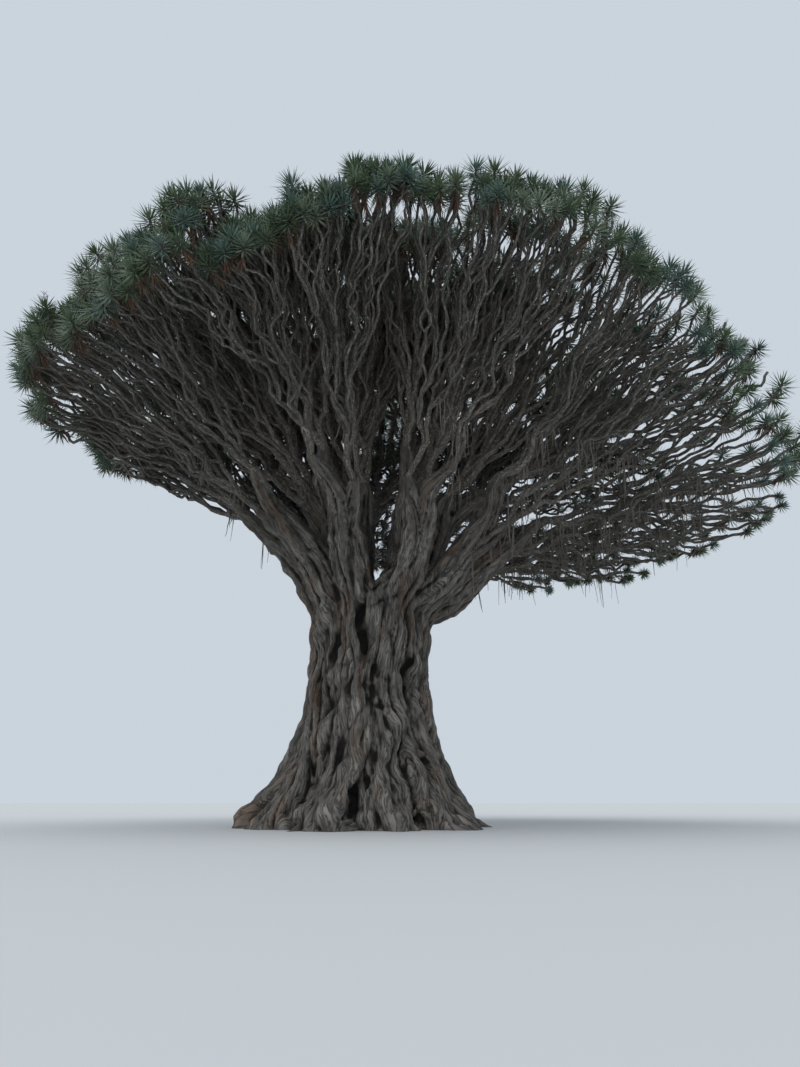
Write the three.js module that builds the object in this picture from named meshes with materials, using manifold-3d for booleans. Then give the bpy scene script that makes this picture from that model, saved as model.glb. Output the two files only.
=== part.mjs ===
// A very old dragon tree, rooted in level ground. Its trunk is a bundle of fused columns with a flared
// foot, which parts at the head into two halves with a slot between them. Eighteen boughs fan out of the
// head, and each carries two forking masses that end in rosettes of sword-shaped leaves. Together the
// rosettes make an umbrella. Millimetres, +Z up, origin in the middle of the flat cut at the ground.
import * as THREE from "three";
import { mergeVertices } from "three/addons/utils/BufferGeometryUtils.js";
import Module from "manifold-3d";

const wasm = await Module();
wasm.setup();

const degree = Math.PI / 180;
const upright = new THREE.Vector3(0, 0, 1);
const clearance = 0.3; // between two neighbours that meet
const finestDetail = 6; // edges and bumps smaller than this are smoothed away

// The umbrella that the rosettes lie on. Each list goes round the crown in eight steps, from +X.
const crown = {
  axisX: 1250,
  top: 15100,
  reach: [10350, 9800, 9700, 9450, 10400, 10300, 8200, 8500],
  rimHeight: [9700, 9600, 10300, 12000, 11350, 11000, 12800, 12000],
  shoulder: [1.05, 0.9, 0.95, 1, 1.05, 1.1, 1.1, 1.15], // 1 makes an ellipse, and more makes it leaner
  lowestAngle: [-22, -24, -10, 0, -6, -4, 0, 0], // where the umbrella begins, below or at its widest
  lipDepth: 4000,
  lipShoulder: 0.5,
};

// The head of the trunk, where the boughs leave it, and the slot between its two halves.
const head = { x: 480, rightDrop: 550, slotHalf: 240 };

// The boughs stand in three rings on the head. from and to are shares of the way from rim to top.
const rings = [
  {
    kind: "rim",
    count: 10,
    turn: 0,
    from: 0,
    to: 0.36,
    radius: 1800,
    height: 6750,
    rise: 50,
    thick: 500,
  },
  {
    kind: "middle",
    count: 6,
    turn: 45,
    from: 0.36,
    to: 0.7,
    radius: 900,
    height: 7350,
    rise: 66,
    thick: 400,
  },
  {
    kind: "top",
    count: 2,
    turn: 20,
    from: 0.7,
    to: 1,
    radius: 260,
    height: 7750,
    rise: 80,
    thick: 360,
  },
];

// The growing rule.
const boughShare = 0.3; // of the way from the head to the umbrella
const forkShare = [1, 0.42, 0.3, 0.2, 0.13, 0.09, 0.07]; // of the way left, by the forks still to come
const forkShareVariation = 0.4;
const splitVariation = 0.14;
const rosettePatch = 490000; // mm2 of umbrella for one rosette of the full-grown tree
const mostForks = 6;
const spreadOfFork = 0.38; // how far a new limb turns towards its own patch
const upwardPull = 0.35; // of a rosette, away from square to the umbrella
const tipRadius = 88;
const thickening = 1 / 3; // a limb's radius grows with this power of the rosettes it carries

// A second limb's root, in radii of the limb that carries it.
const root = { depth: 0.6, thick: 0.9 };

// A mass's stem on the tip of its bough, in radii of that tip.
const stem = { aside: 0.5, footThick: 0.47, length: 1.4, thick: 0.67 };
const boughTipThickening = 1.08;

// The solids stop forking here, and each rosette stands for several.
const patchOfSolidRosette = 3.5e6;
const rosetteSize = { reach: 900, bud: 210, least: 400, lowerTilt: -4, upperTilt: 50, room: 10 };

// The trunk: height of a station, distance of the columns from the axis, and their radius.
const trunkStations = [
  { height: -300, ring: 2500, thick: 560 },
  { height: 450, ring: 2000, thick: 600 },
  { height: 1500, ring: 1300, thick: 570 },
  { height: 3000, ring: 1000, thick: 520 },
  { height: 4500, ring: 1000, thick: 490 },
  { height: 5700, ring: 1180, thick: 500 },
];
const trunkLean = 0.04;
const toes = { top: 2200, variation: 620, shortest: -0.35 }; // some roots start further out than others
const outerColumns = { thick: 0.9, more: 0.25 };
const innerColumns = { from: 4500, spread: 0.8, thick: 0.8 };
const coreStations = [
  { height: -300, thick: 2150 },
  { height: 1300, thick: 1450 },
  { height: 3200, thick: 1120 },
  { height: 5000, thick: 1050 },
  { height: 6300, thick: 1080 },
];
const halfCore = { from: 5200, to: 7150, lowOffset: 450, offset: 900, thick: 620 };

// A number from 0 to 1 that depends only on which limb asks and what for.
function chance(key, use) {
  const x = Math.sin(key * 12.9898 + use * 78.233) * 43758.5453;
  return x - Math.floor(x);
}

// The umbrella
// A value at an azimuth, blended between the steps of a list that goes round the crown.
function around(list, azimuth) {
  const turns = azimuth / (2 * Math.PI);
  const place = (turns - Math.floor(turns)) * list.length;
  const i = Math.floor(place);
  const blend = THREE.MathUtils.smoothstep(place - i, 0, 1);
  return list[i] * (1 - blend) + list[(i + 1) % list.length] * blend;
}

// The point of the umbrella at an azimuth, and at a share of the way from the rim to the top.
function umbrella(azimuth, share) {
  const lowest = around(crown.lowestAngle, azimuth) * degree;
  const angle = lowest + share * (Math.PI / 2 - lowest);
  const rim = around(crown.rimHeight, azimuth);
  const shoulder = angle < 0 ? crown.lipShoulder : around(crown.shoulder, azimuth);
  const depth = angle < 0 ? crown.lipDepth : crown.top - rim;
  const r = around(crown.reach, azimuth) * Math.max(Math.cos(angle), 0) ** shoulder;
  return new THREE.Vector3(
    crown.axisX + r * Math.cos(azimuth),
    r * Math.sin(azimuth),
    rim + depth * Math.sin(angle),
  );
}

// The way out of the umbrella there, pulled upward a little.
function outward(azimuth, share) {
  const step = 0.001;
  const along = umbrella(azimuth + step, share).sub(umbrella(azimuth - step, share));
  const up = umbrella(azimuth, Math.min(share + step, 1)).sub(umbrella(azimuth, share - step));
  return along.cross(up).normalize().addScaledVector(upright, upwardPull).normalize();
}

// A patch of the umbrella runs from a0 to a1 in azimuth and from s0 to s1 in share.
const middleOf = ({ a0, a1, s0, s1 }) => [(a0 + a1) / 2, (s0 + s1) / 2];

function sizeOf(patch) {
  const [azimuth, share] = middleOf(patch);
  const middle = umbrella(azimuth, share);
  const width = (patch.a1 - patch.a0) * Math.hypot(middle.x - crown.axisX, middle.y);
  const steps = 4;
  const step = (patch.s1 - patch.s0) / steps;
  let height = 0;
  for (let k = 0; k < steps; k++) {
    const from = umbrella(azimuth, patch.s0 + step * k);
    height += umbrella(azimuth, patch.s0 + step * (k + 1)).distanceTo(from);
  }
  return { width, height, area: width * height };
}

// Splits a patch across its longer side.
function halves(patch, at) {
  const { width, height } = sizeOf(patch);
  if (width > height) {
    const a = patch.a0 + (patch.a1 - patch.a0) * at;
    return [{ ...patch, a1: a }, { ...patch, a0: a }];
  }
  const s = patch.s0 + (patch.s1 - patch.s0) * at;
  return [{ ...patch, s1: s }, { ...patch, s0: s }];
}

// The growing rule
const radiusOf = (forksLeft) => tipRadius * 2 ** (forksLeft * thickening);

// The line that a limb would follow from its start to the middle of its patch.
function wayTo(start, heading, patch) {
  const [azimuth, share] = middleOf(patch);
  const end = umbrella(azimuth, share);
  const third = end.distanceTo(start) / 3;
  const before = end.clone().addScaledVector(outward(azimuth, share), -0.9 * third);
  return new THREE.CubicBezierCurve3(start, start.clone().addScaledVector(heading, third), before, end);
}

const squareTo = (axis, v) => v.addScaledVector(axis, -v.dot(axis)).normalize();

// A new limb turns from the heading of the limb that carries it towards its own patch.
function turned(start, heading, patch) {
  const towards = umbrella(...middleOf(patch)).sub(start);
  return heading.clone().addScaledVector(squareTo(heading, towards), spreadOfFork).normalize();
}

// Follows the rule from where a limb starts. The first limb of a fork goes on in the same twig, and the
// second starts a twig of its own, sunk into the first.
function grow(twig, mass, { start, heading, patch, key, forksLeft }) {
  const way = wayTo(start, heading, patch);
  if (forksLeft === 0 || sizeOf(patch).area < patchOfSolidRosette) {
    twig.points.push(way.getPoint(1));
    twig.radii.push(tipRadius);
    twig.rosette = { centre: way.getPoint(1), axis: way.getTangent(1), reach: rosetteSize.reach };
    return;
  }
  const share = forkShare[forksLeft] * (1 + forkShareVariation * (chance(key, 1) - 0.5));
  const fork = way.getPoint(share);
  const forkHeading = way.getTangent(share);
  const radius = radiusOf(forksLeft - 0.5);
  twig.points.push(fork);
  twig.radii.push(radius);
  halves(patch, 0.5 + splitVariation * (chance(key, 2) - 0.5)).forEach((part, side) => {
    let carrier = twig;
    if (side === 1) {
      const from = fork.clone().addScaledVector(forkHeading, -root.depth * radius);
      carrier = { points: [from], radii: [root.thick * radiusOf(forksLeft - 1)], sides: 3 };
      mass.twigs.push(carrier);
    }
    grow(carrier, mass, {
      start: fork,
      heading: turned(fork, forkHeading, part),
      patch: part,
      key: key * 2 + side,
      forksLeft: forksLeft - 1,
    });
  });
}

function makeBough(ring, k, number) {
  const azimuth = (ring.turn + (360 / ring.count) * k) * degree;
  const half = Math.PI / ring.count;
  const patch = { a0: azimuth - half, a1: azimuth + half, s0: ring.from, s1: ring.to };
  const aside = new THREE.Vector3(Math.cos(azimuth), Math.sin(azimuth), 0);
  const drop = head.rightDrop * Math.max(aside.x, 0) * (ring.radius / rings[0].radius);
  const start = new THREE.Vector3(head.x + head.slotHalf * (aside.x < 0 ? -1 : 1), 0, ring.height - drop);
  start.addScaledVector(aside, ring.radius);
  const heading = aside.multiplyScalar(Math.cos(ring.rise * degree)).setZ(Math.sin(ring.rise * degree));
  const way = wayTo(start, heading, patch);
  const forks = Math.min(mostForks, Math.round(Math.log2(sizeOf(patch).area / rosettePatch)));
  const points = [0, 0.25, 0.5, 0.75, 1].map((s) => way.getPoint(s * boughShare));
  points[0].addScaledVector(heading, clearance);
  return {
    name: `${ring.kind}_bough_${String(number).padStart(2, "0")}`,
    number,
    ring,
    azimuth,
    patch,
    start,
    heading,
    points,
    forks,
    tipHeading: way.getTangent(boughShare),
    thick: ring.thick,
    tipThick: boughTipThickening * radiusOf(forks - 1),
  };
}

// Two masses stand side by side on the tip of each bough.
function makeMasses({ number, ring, patch, points, forks, tipHeading, tipThick }) {
  const parts = halves(patch, 0.5);
  const [first, second] = parts.map((part) => umbrella(...middleOf(part)));
  const apart = squareTo(tipHeading, second.sub(first));
  return parts.map((part, side) => {
    const aside = apart.clone().multiplyScalar(side === 0 ? -1 : 1);
    const heading = tipHeading.clone().addScaledVector(aside, spreadOfFork).normalize();
    const foot = points[points.length - 1].clone().addScaledVector(aside, stem.aside * tipThick);
    foot.addScaledVector(tipHeading, clearance);
    const start = foot.clone().addScaledVector(heading, stem.length * tipThick);
    const twig = {
      points: [foot, start],
      radii: [stem.footThick * tipThick, stem.thick * tipThick],
      sides: 4,
      firstAxis: tipHeading,
    };
    const name = `${ring.kind}_foliage_${String(number).padStart(2, "0")}${"ab"[side]}`;
    const mass = { name, twigs: [twig] };
    grow(twig, mass, { start, heading, patch: part, key: (100 + number) * 2 + side, forksLeft: forks - 1 });
    return mass;
  });
}

// A rosette keeps clear of every other, and of the twigs of other masses.
function giveRoom(rosette, ownMass, masses) {
  const nearest = new THREE.Vector3();
  for (const mass of masses)
    for (const twig of mass.twigs) {
      if (twig.rosette === rosette) continue;
      const between = rosette.centre.distanceTo(twig.rosette.centre) / 2;
      rosette.reach = Math.min(rosette.reach, between - rosetteSize.room);
      if (mass === ownMass) continue;
      for (let i = 0; i + 1 < twig.points.length; i++) {
        const line = new THREE.Line3(twig.points[i], twig.points[i + 1]);
        line.closestPointToPoint(rosette.centre, true, nearest);
        const away = rosette.centre.distanceTo(nearest) - Math.max(twig.radii[i], twig.radii[i + 1]);
        rosette.reach = Math.min(rosette.reach, away - rosetteSize.room);
      }
    }
}

// Solids
function solidFrom(geometry) {
  const bare = geometry.clone();
  bare.deleteAttribute("normal");
  bare.deleteAttribute("uv");
  const merged = mergeVertices(bare, 1e-4);
  return new wasm.Manifold(
    new wasm.Mesh({
      numProp: 3,
      vertProperties: merged.attributes.position.array,
      triVerts: new Uint32Array(merged.index.array),
    }),
  );
}

const largestPiece = (solid) => solid.decompose().sort((a, b) => b.volume() - a.volume())[0];

function geometryFrom(solid) {
  const mesh = solid.getMesh();
  const geometry = new THREE.BufferGeometry();
  geometry.setAttribute("position", new THREE.BufferAttribute(mesh.vertProperties, 3));
  geometry.setIndex(new THREE.BufferAttribute(mesh.triVerts, 1));
  geometry.computeVertexNormals();
  return geometry;
}

function solidOf(corners, faces) {
  const geometry = new THREE.BufferGeometry();
  const positions = corners.flatMap((corner) => corner.toArray());
  geometry.setAttribute("position", new THREE.Float32BufferAttribute(positions, 3));
  geometry.setIndex(faces.flat());
  return solidFrom(geometry);
}

// The corners of a tapering tube, ring after ring. Its two ends can be held square to a given direction.
function tubeCorners({ points, radii, sides, firstAxis, lastAxis }) {
  const corners = [];
  const last = points.length - 1;
  let side = null;
  points.forEach((point, i) => {
    let axis = points[Math.min(i + 1, last)].clone().sub(points[Math.max(i - 1, 0)]).normalize();
    if (i === 0 && firstAxis) axis = firstAxis;
    if (i === last && lastAxis) axis = lastAxis;
    side ??= Math.abs(axis.z) < 0.99 ? upright : new THREE.Vector3(1, 0, 0);
    side = squareTo(axis, side.clone());
    const other = axis.clone().cross(side);
    for (let k = 0; k < sides; k++) {
      const turn = (2 * Math.PI * k) / sides;
      const corner = point.clone().addScaledVector(side, radii[i] * Math.cos(turn));
      corners.push(corner.addScaledVector(other, radii[i] * Math.sin(turn)));
    }
  });
  return corners;
}

function wallFaces(sides, firstRing, lastRing) {
  const faces = [];
  for (let i = firstRing; i < lastRing; i++)
    for (let k = 0; k < sides; k++) {
      const a = i * sides + k;
      const b = i * sides + ((k + 1) % sides);
      faces.push([a, b, b + sides], [a, b + sides, a + sides]);
    }
  return faces;
}

function endFaces(sides, ring, facesBack) {
  const faces = [];
  const a = ring * sides;
  for (let k = 1; k + 1 < sides; k++) faces.push(facesBack ? [a, a + k + 1, a + k] : [a, a + k, a + k + 1]);
  return faces;
}

function limbSolid(limb) {
  const last = limb.points.length - 1;
  const ends = [...endFaces(limb.sides, 0, true), ...endFaces(limb.sides, last, false)];
  return solidOf(tubeCorners(limb), [...wallFaces(limb.sides, 0, last), ...ends]);
}

// A twig ends in a bud, and a leaf stands out of each face of the bud.
function twigSolid(twig) {
  const { centre, axis, reach } = twig.rosette;
  if (reach < rosetteSize.least) return limbSolid(twig);
  const { sides } = twig;
  const points = twig.points.slice(0, -1);
  points.push(centre.clone().addScaledVector(axis, -rosetteSize.bud), centre);
  const corners = tubeCorners({ ...twig, points, radii: [...twig.radii, rosetteSize.bud], lastAxis: axis });
  const last = points.length - 1;
  const faces = [...wallFaces(sides, 0, last - 1), ...endFaces(sides, 0, true)];
  const top = corners.push(centre.clone().addScaledVector(axis, rosetteSize.bud)) - 1;
  const addLeaf = ([a, b, c], tilt) => {
    const middle = new THREE.Vector3().add(corners[a]).add(corners[b]).add(corners[c]).divideScalar(3);
    const aside = squareTo(axis, middle.sub(centre));
    const leafTip = centre.clone().addScaledVector(aside, reach * Math.cos(tilt * degree));
    const tip = corners.push(leafTip.addScaledVector(axis, reach * Math.sin(tilt * degree))) - 1;
    faces.push([a, b, tip], [b, c, tip], [c, a, tip]);
  };
  for (const face of wallFaces(sides, last - 1, last)) addLeaf(face, rosetteSize.lowerTilt);
  for (let k = 0; k < sides; k++)
    addLeaf([last * sides + k, last * sides + ((k + 1) % sides), top], rosetteSize.upperTilt);
  return solidOf(corners, faces);
}

function massSolid(mass) {
  return largestPiece(wasm.Manifold.union(mass.twigs.map(twigSolid)).simplify(finestDetail));
}

// A bough, or with room round it the space that the trunk leaves free for it.
function boughSolid(bough, room = 0) {
  const points = bough.points.map((point) => point.clone());
  points[0].addScaledVector(bough.heading, -room);
  const taper = (bough.tipThick - bough.thick) / (points.length - 1);
  const radii = points.map((_, i) => bough.thick + taper * i + room);
  return limbSolid({ points, radii, sides: 6, firstAxis: bough.heading, lastAxis: bough.tipHeading });
}

// The trunk
const axisAt = (height) => new THREE.Vector3(Math.max(height, 0) * trunkLean, 0, height);

// A column runs up to the start of each bough. Those of the rim boughs are also the roots.
function columnSolid(bough) {
  const { number, ring, azimuth } = bough;
  const outer = ring === rings[0];
  const thicker = outer ? outerColumns.thick + outerColumns.more * chance(number, 4) : innerColumns.thick;
  const points = [];
  const radii = [];
  for (const station of trunkStations) {
    if (!outer && station.height < innerColumns.from) continue;
    const toe = toes.variation * (chance(number, 3) + toes.shortest);
    const nearGround = Math.max(0, 1 - Math.max(station.height, 0) / toes.top);
    const spread = outer ? station.ring + toe * nearGround : innerColumns.spread * ring.radius;
    const aside = new THREE.Vector3(Math.cos(azimuth), Math.sin(azimuth), 0);
    points.push(axisAt(station.height).addScaledVector(aside, spread));
    radii.push(station.thick * thicker);
  }
  points.push(bough.start);
  radii.push(bough.thick);
  return limbSolid({ points, radii, sides: 7, firstAxis: upright, lastAxis: bough.heading });
}

function coreSolids() {
  const core = limbSolid({
    points: coreStations.map(({ height }) => axisAt(height)),
    radii: coreStations.map(({ thick }) => thick),
    sides: 10,
    firstAxis: upright,
  });
  const halfCores = [-1, 1].map((side) => {
    const low = axisAt(halfCore.from).setX(axisAt(halfCore.from).x + side * halfCore.lowOffset);
    const high = new THREE.Vector3(head.x + side * halfCore.offset, 0, halfCore.to);
    const radii = [halfCore.thick, halfCore.thick];
    return limbSolid({ points: [low, high], radii, sides: 8, firstAxis: upright });
  });
  return [core, ...halfCores];
}

function trunkSolid(boughs) {
  const below = solidFrom(new THREE.BoxGeometry(12000, 12000, 1000).translate(0, 0, -500));
  const bundle = wasm.Manifold.union([...coreSolids(), ...boughs.map(columnSolid)]);
  let trunk = bundle.simplify(finestDetail).subtract(below);
  for (const bough of boughs)
    if (trunk.intersect(boughSolid(bough)).volume() > 0) trunk = trunk.subtract(boughSolid(bough, clearance));
  return largestPiece(trunk.simplify(1));
}

// The tree
const boughs = [];
for (const ring of rings)
  for (let k = 0; k < ring.count; k++) boughs.push(makeBough(ring, k, boughs.length + 1));
const masses = boughs.flatMap(makeMasses);
for (const mass of masses) for (const { rosette } of mass.twigs) giveRoom(rosette, mass, masses);

const bark = new THREE.MeshStandardMaterial({ color: 0x4d4640, roughness: 0.95, metalness: 0 });
const limbBark = new THREE.MeshStandardMaterial({ color: 0x5a524b, roughness: 0.92, metalness: 0 });
const leaf = new THREE.MeshStandardMaterial({ color: 0x35493c, roughness: 0.6, metalness: 0 });
const tree = new THREE.Group();

function addNode(name, solid, material) {
  const mesh = new THREE.Mesh(geometryFrom(solid), material);
  mesh.name = name;
  tree.add(mesh);
}

addNode("trunk", trunkSolid(boughs), bark);
for (const bough of boughs) addNode(bough.name, boughSolid(bough), limbBark);
for (const mass of masses) addNode(mass.name, massSolid(mass), leaf);

export default tree;
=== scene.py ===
# A very old dragon tree, dressed over its solids. Metres, +Z up, and the camera looks along +Y.
# The limbs grow by the rule of the solids, from the same named values, and go on to finer twigs.
import bpy
import bmesh
import numpy as np
from functools import partial
from itertools import product
from math import sin, cos, pi, radians, hypot, floor, log2, sqrt
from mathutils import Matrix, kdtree


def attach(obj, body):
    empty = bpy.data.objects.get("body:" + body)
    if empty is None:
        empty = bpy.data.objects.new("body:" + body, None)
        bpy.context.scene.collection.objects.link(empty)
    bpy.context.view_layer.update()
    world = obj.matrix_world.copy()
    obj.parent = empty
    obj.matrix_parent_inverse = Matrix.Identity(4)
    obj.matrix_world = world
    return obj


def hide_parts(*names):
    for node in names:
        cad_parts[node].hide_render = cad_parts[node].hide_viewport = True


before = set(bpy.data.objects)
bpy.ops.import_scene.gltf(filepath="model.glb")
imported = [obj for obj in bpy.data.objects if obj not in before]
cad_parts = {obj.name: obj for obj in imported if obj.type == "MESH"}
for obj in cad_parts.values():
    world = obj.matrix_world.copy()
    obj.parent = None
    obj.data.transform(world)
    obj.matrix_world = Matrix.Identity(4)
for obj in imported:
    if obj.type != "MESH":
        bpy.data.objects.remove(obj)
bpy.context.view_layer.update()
nodeNames = sorted(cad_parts)
boughNames = [name for name in nodeNames if "_bough_" in name]
foliageNames = [name for name in nodeNames if "_foliage_" in name]

# The umbrella that the rosettes lie on, as in the solids. Each list goes round the crown in eight
# steps, from +X.
crown = {
    "axisX": 1.25,
    "top": 15.1,
    "reach": [10.35, 9.8, 9.7, 9.45, 10.4, 10.3, 8.2, 8.5],
    "rimHeight": [9.7, 9.6, 10.3, 12.0, 11.35, 11.0, 12.8, 12.0],
    "shoulder": [1.05, 0.9, 0.95, 1, 1.05, 1.1, 1.1, 1.15],
    "lowestAngle": [-22, -24, -10, 0, -6, -4, 0, 0],
    "lipDepth": 4.0,
    "lipShoulder": 0.5,
}

# The head of the trunk, and the three rings of boughs on it.
head = {"x": 0.48, "middleHeight": 6.9, "rightDrop": 0.55, "slotHalf": 0.24}
ringValues = ("count", "turn", "from", "to", "radius", "height", "rise", "thick")
ringRows = [
    (10, 0, 0, 0.36, 1.8, 6.75, 50, 0.5),
    (6, 45, 0.36, 0.7, 0.9, 7.35, 66, 0.4),
    (2, 20, 0.7, 1, 0.26, 7.75, 80, 0.36),
]
rings = [dict(zip(ringValues, row)) for row in ringRows]

growth = {
    "boughShare": 0.3,  # of the way from the head to the umbrella
    "forkShareVariation": 0.4,
    "splitVariation": 0.14,
    "rosettePatch": 0.49,  # square metres of umbrella for one rosette
    "mostForks": 6,
    "upwardPull": 0.35,
    "tipRadius": 0.088,
    "thickening": 1 / 3,
    "moreForks": 2,  # than the solids have, for finer limbs in the same reach
    "lastForkShare": 0.6,  # of the last forks have both twigs
    "topForkShare": 0.95,
    "topFrom": 0.5,  # of the way up the umbrella
    "forkedShareRight": [0.03, 0.7, 0.87],  # by the forks left
    "forkedShareLeft": [0.12, 0.72, 0.9],
    "leftLow": (-3.5, 10.9),  # left of this x and below this height
    "forkedShareFar": [0.1, 0.7, 0.9],  # on the far side, where the sky shows through
    "farFrom": (0.5, 1.5),  # x and y
    "fineForkShare": [1, 0.45, 0.3, 0.2, 0.14, 0.11, 0.09, 0.08],  # of the way, by the forks left
    "fineTipRadius": 0.044,
    "fineThickening": 2.5,
    "fineSpread": 0.7,  # of a fork of these limbs
    "lastUpwardPull": 0.45,  # the last twigs turn up
    "rootDepth": 0.6,  # a second limb's root, in radii of the limb that carries it
    "rootThick": 0.8,
    "earlierStem": 0.38,  # the stems leave a bough here, as shares of its length
    "laterStem": 0.8,
    "stemVariation": 0.3,
    "stemThick": 0.7,  # of the bough's tip
    "stemAside": 0.5,
    "stemSpread": 0.45,
    "stemLength": 1.4,
    "boughTipThickening": 1.08,
}

# The trunk: height of a station, distance of the columns from the axis, and their radius.
trunk = {
    "heights": [-0.3, 0.45, 1.5, 3.0, 4.5, 5.7],
    "ring": [2.5, 2.0, 1.3, 1.0, 1.0, 1.18],
    "thick": [0.56, 0.6, 0.57, 0.52, 0.49, 0.5],
    "lean": 0.04,
    "toeTop": 2.2,
    "toeVariation": 0.62,
    "toeShortest": -0.35,
    "columnThick": 0.9,
    "columnMore": 0.25,
    "innerSpread": 0.8,
    "innerThick": 0.8,
    "coreHeights": [-0.3, 1.3, 3.2, 5.0, 6.3],
    "coreThick": [2.15, 1.45, 1.12, 1.05, 1.08],
    "halfCoreFrom": 5.2,
    "halfCoreTo": 7.15,
    "halfCoreLow": 0.45,
    "halfCoreHigh": 0.9,
    "halfCoreThick": 0.62,
}


def chance(key, use):  # from 0 to 1, the same number for the same limb and use
    x = sin(key * 12.9898 + use * 78.233) * 43758.5453
    return x - floor(x)


def between(ends, key, use, skew=1):
    return ends[0] + (ends[1] - ends[0]) * chance(key, use) ** skew


def unit(v):
    return v / np.linalg.norm(v)


def squareTo(axis, v):
    return unit(v - axis * v.dot(axis))


def smooth(x):
    x = np.clip(x, 0, 1)
    return x * x * (3 - 2 * x)


def softNoise(places, seed=0):  # value noise from -1 to 1 at an array of places
    cell = np.floor(places).astype(np.int64)
    part = places - cell
    blend = part * part * (3 - 2 * part)
    total = np.zeros(len(places))
    for corner in np.ndindex(2, 2, 2):
        x, y, z = (cell + np.array(corner)).T
        mixed = (x * 73856093) ^ (y * 19349663) ^ (z * 83492791) ^ (seed * 2654435761)
        mixed = ((mixed ^ (mixed >> 13)) * 1274126177) & 0xFFFFFF
        weight = np.prod(np.where(np.array(corner) == 1, blend, 1 - blend), axis=1)
        total += weight * (mixed / 0x7FFFFF - 1)
    return total


def lengthAlong(points):
    return np.concatenate([[0], np.cumsum(np.linalg.norm(np.diff(points, axis=0), axis=1))])


# The growing rule
def around(values, azimuth):
    place = (azimuth / (2 * pi)) % 1 * len(values)
    i = int(place)
    blend = place - i
    blend = blend * blend * (3 - 2 * blend)
    return values[i % len(values)] * (1 - blend) + values[(i + 1) % len(values)] * blend


def umbrella(azimuth, share):
    lowest = radians(around(crown["lowestAngle"], azimuth))
    angle = lowest + share * (pi / 2 - lowest)
    rim = around(crown["rimHeight"], azimuth)
    shoulder = crown["lipShoulder"] if angle < 0 else around(crown["shoulder"], azimuth)
    depth = crown["lipDepth"] if angle < 0 else crown["top"] - rim
    r = around(crown["reach"], azimuth) * max(cos(angle), 0) ** shoulder
    return np.array([crown["axisX"] + r * cos(azimuth), r * sin(azimuth), rim + depth * sin(angle)])


def outward(azimuth, share):
    step = 0.001
    along = umbrella(azimuth + step, share) - umbrella(azimuth - step, share)
    up = umbrella(azimuth, min(share + step, 1)) - umbrella(azimuth, share - step)
    return unit(unit(np.cross(along, up)) + np.array([0, 0, growth["upwardPull"]]))


def middleOf(patch):
    return (patch[0] + patch[1]) / 2, (patch[2] + patch[3]) / 2


def sizeOf(patch):
    azimuth, share = middleOf(patch)
    middle = umbrella(azimuth, share)
    width = (patch[1] - patch[0]) * hypot(middle[0] - crown["axisX"], middle[1])
    line = [umbrella(azimuth, patch[2] + (patch[3] - patch[2]) * k / 4) for k in range(5)]
    height = sum(np.linalg.norm(b - a) for a, b in zip(line, line[1:]))
    return width, height


def halves(patch, at):
    width, height = sizeOf(patch)
    a0, a1, s0, s1 = patch
    if width > height:
        a = a0 + (a1 - a0) * at
        return (a0, a, s0, s1), (a, a1, s0, s1)
    s = s0 + (s1 - s0) * at
    return (a0, a1, s0, s), (a0, a1, s, s1)


def radiusOf(forksLeft):  # in the solids, which give the boughs their tips
    return growth["tipRadius"] * 2 ** (forksLeft * growth["thickening"])


def fineRadius(forksLeft):  # of the limbs here, which keep nearly even for a long way
    share = max(forksLeft, 0) / (growth["mostForks"] - 1 + growth["moreForks"])
    return growth["fineTipRadius"] * (1 + growth["fineThickening"] * share * share)


def wayTo(start, heading, patch, inward=0, upwardPull=0):
    outThere = outward(*middleOf(patch))
    end = umbrella(*middleOf(patch)) - outThere * inward
    outThere = unit(outThere + np.array([0, 0, upwardPull]))
    third = np.linalg.norm(end - start) / 3
    return np.array([start, start + heading * third, end - outThere * 0.9 * third, end])


def pointsOn(way, shares):
    s = np.asarray(shares, float)[:, None]
    r = 1 - s
    return r**3 * way[0] + 3 * r * r * s * way[1] + 3 * r * s * s * way[2] + s**3 * way[3]


def headingOn(way, s):
    r = 1 - s
    return unit(r * r * (way[1] - way[0]) + 2 * r * s * (way[2] - way[1]) + s * s * (way[3] - way[2]))


def turned(start, heading, patch):
    towards = umbrella(*middleOf(patch)) - start
    return unit(heading + squareTo(heading, towards) * growth["fineSpread"])


# The limbs
limbLook = {
    "step": 0.17,  # between two rings of a limb
    "lobeSize": 0.95,  # how far back some groups of rosettes stay
    "smallLobeSize": 0.35,
    "lobeSeeds": (2141, 2143),
    "lobeProud": 0.42,  # how far past the umbrella the others reach
    "tipVariation": 0.22,
    "lobeSkew": 1.5,
    "topFrom": 0.45,  # of the way up, where rosettes start to stay back and lie more evenly
    "topBlend": 0.35,
    "topInward": 0.45,
    "evenerTop": 0.6,
    "calmNear": 0.4,  # of the kinks and waves, near the head
    "calmTo": 6.0,
    "kinkSize": 0.055,
    "kinkLength": 0.48,
    "kinkUneven": 0.35,
    "waveSize": 0.062,
    "waveLength": 0.85,
    "waveRange": (0.75, 1.3),  # times that length
    "stillEnds": 0.3,  # metres at the ends of a limb in which its waves die out
    "thinnerFront": 0.26,  # the limbs towards the camera
    "thinnerFrom": -1,
    "thinnerOver": 5,
    "snakeSize": 0.07,
    "snakeLengths": (1.3, 3.4),
    "snakeFrom": 2.2,  # from the middle of the head
    "snakeFull": 4.6,
    "knobby": 0.07,
    "knobWaves": (7, 11.5),
    "sides": [(0.15, 9), (0.1, 6), (0, 5)],  # by the limb's thickest radius
    "leftEdge": -1.5,  # where the limbs are parted into three pieces
    "rightEdge": 4.5,
}
headMiddle = np.array([head["x"], 0, head["middleHeight"]])

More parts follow.
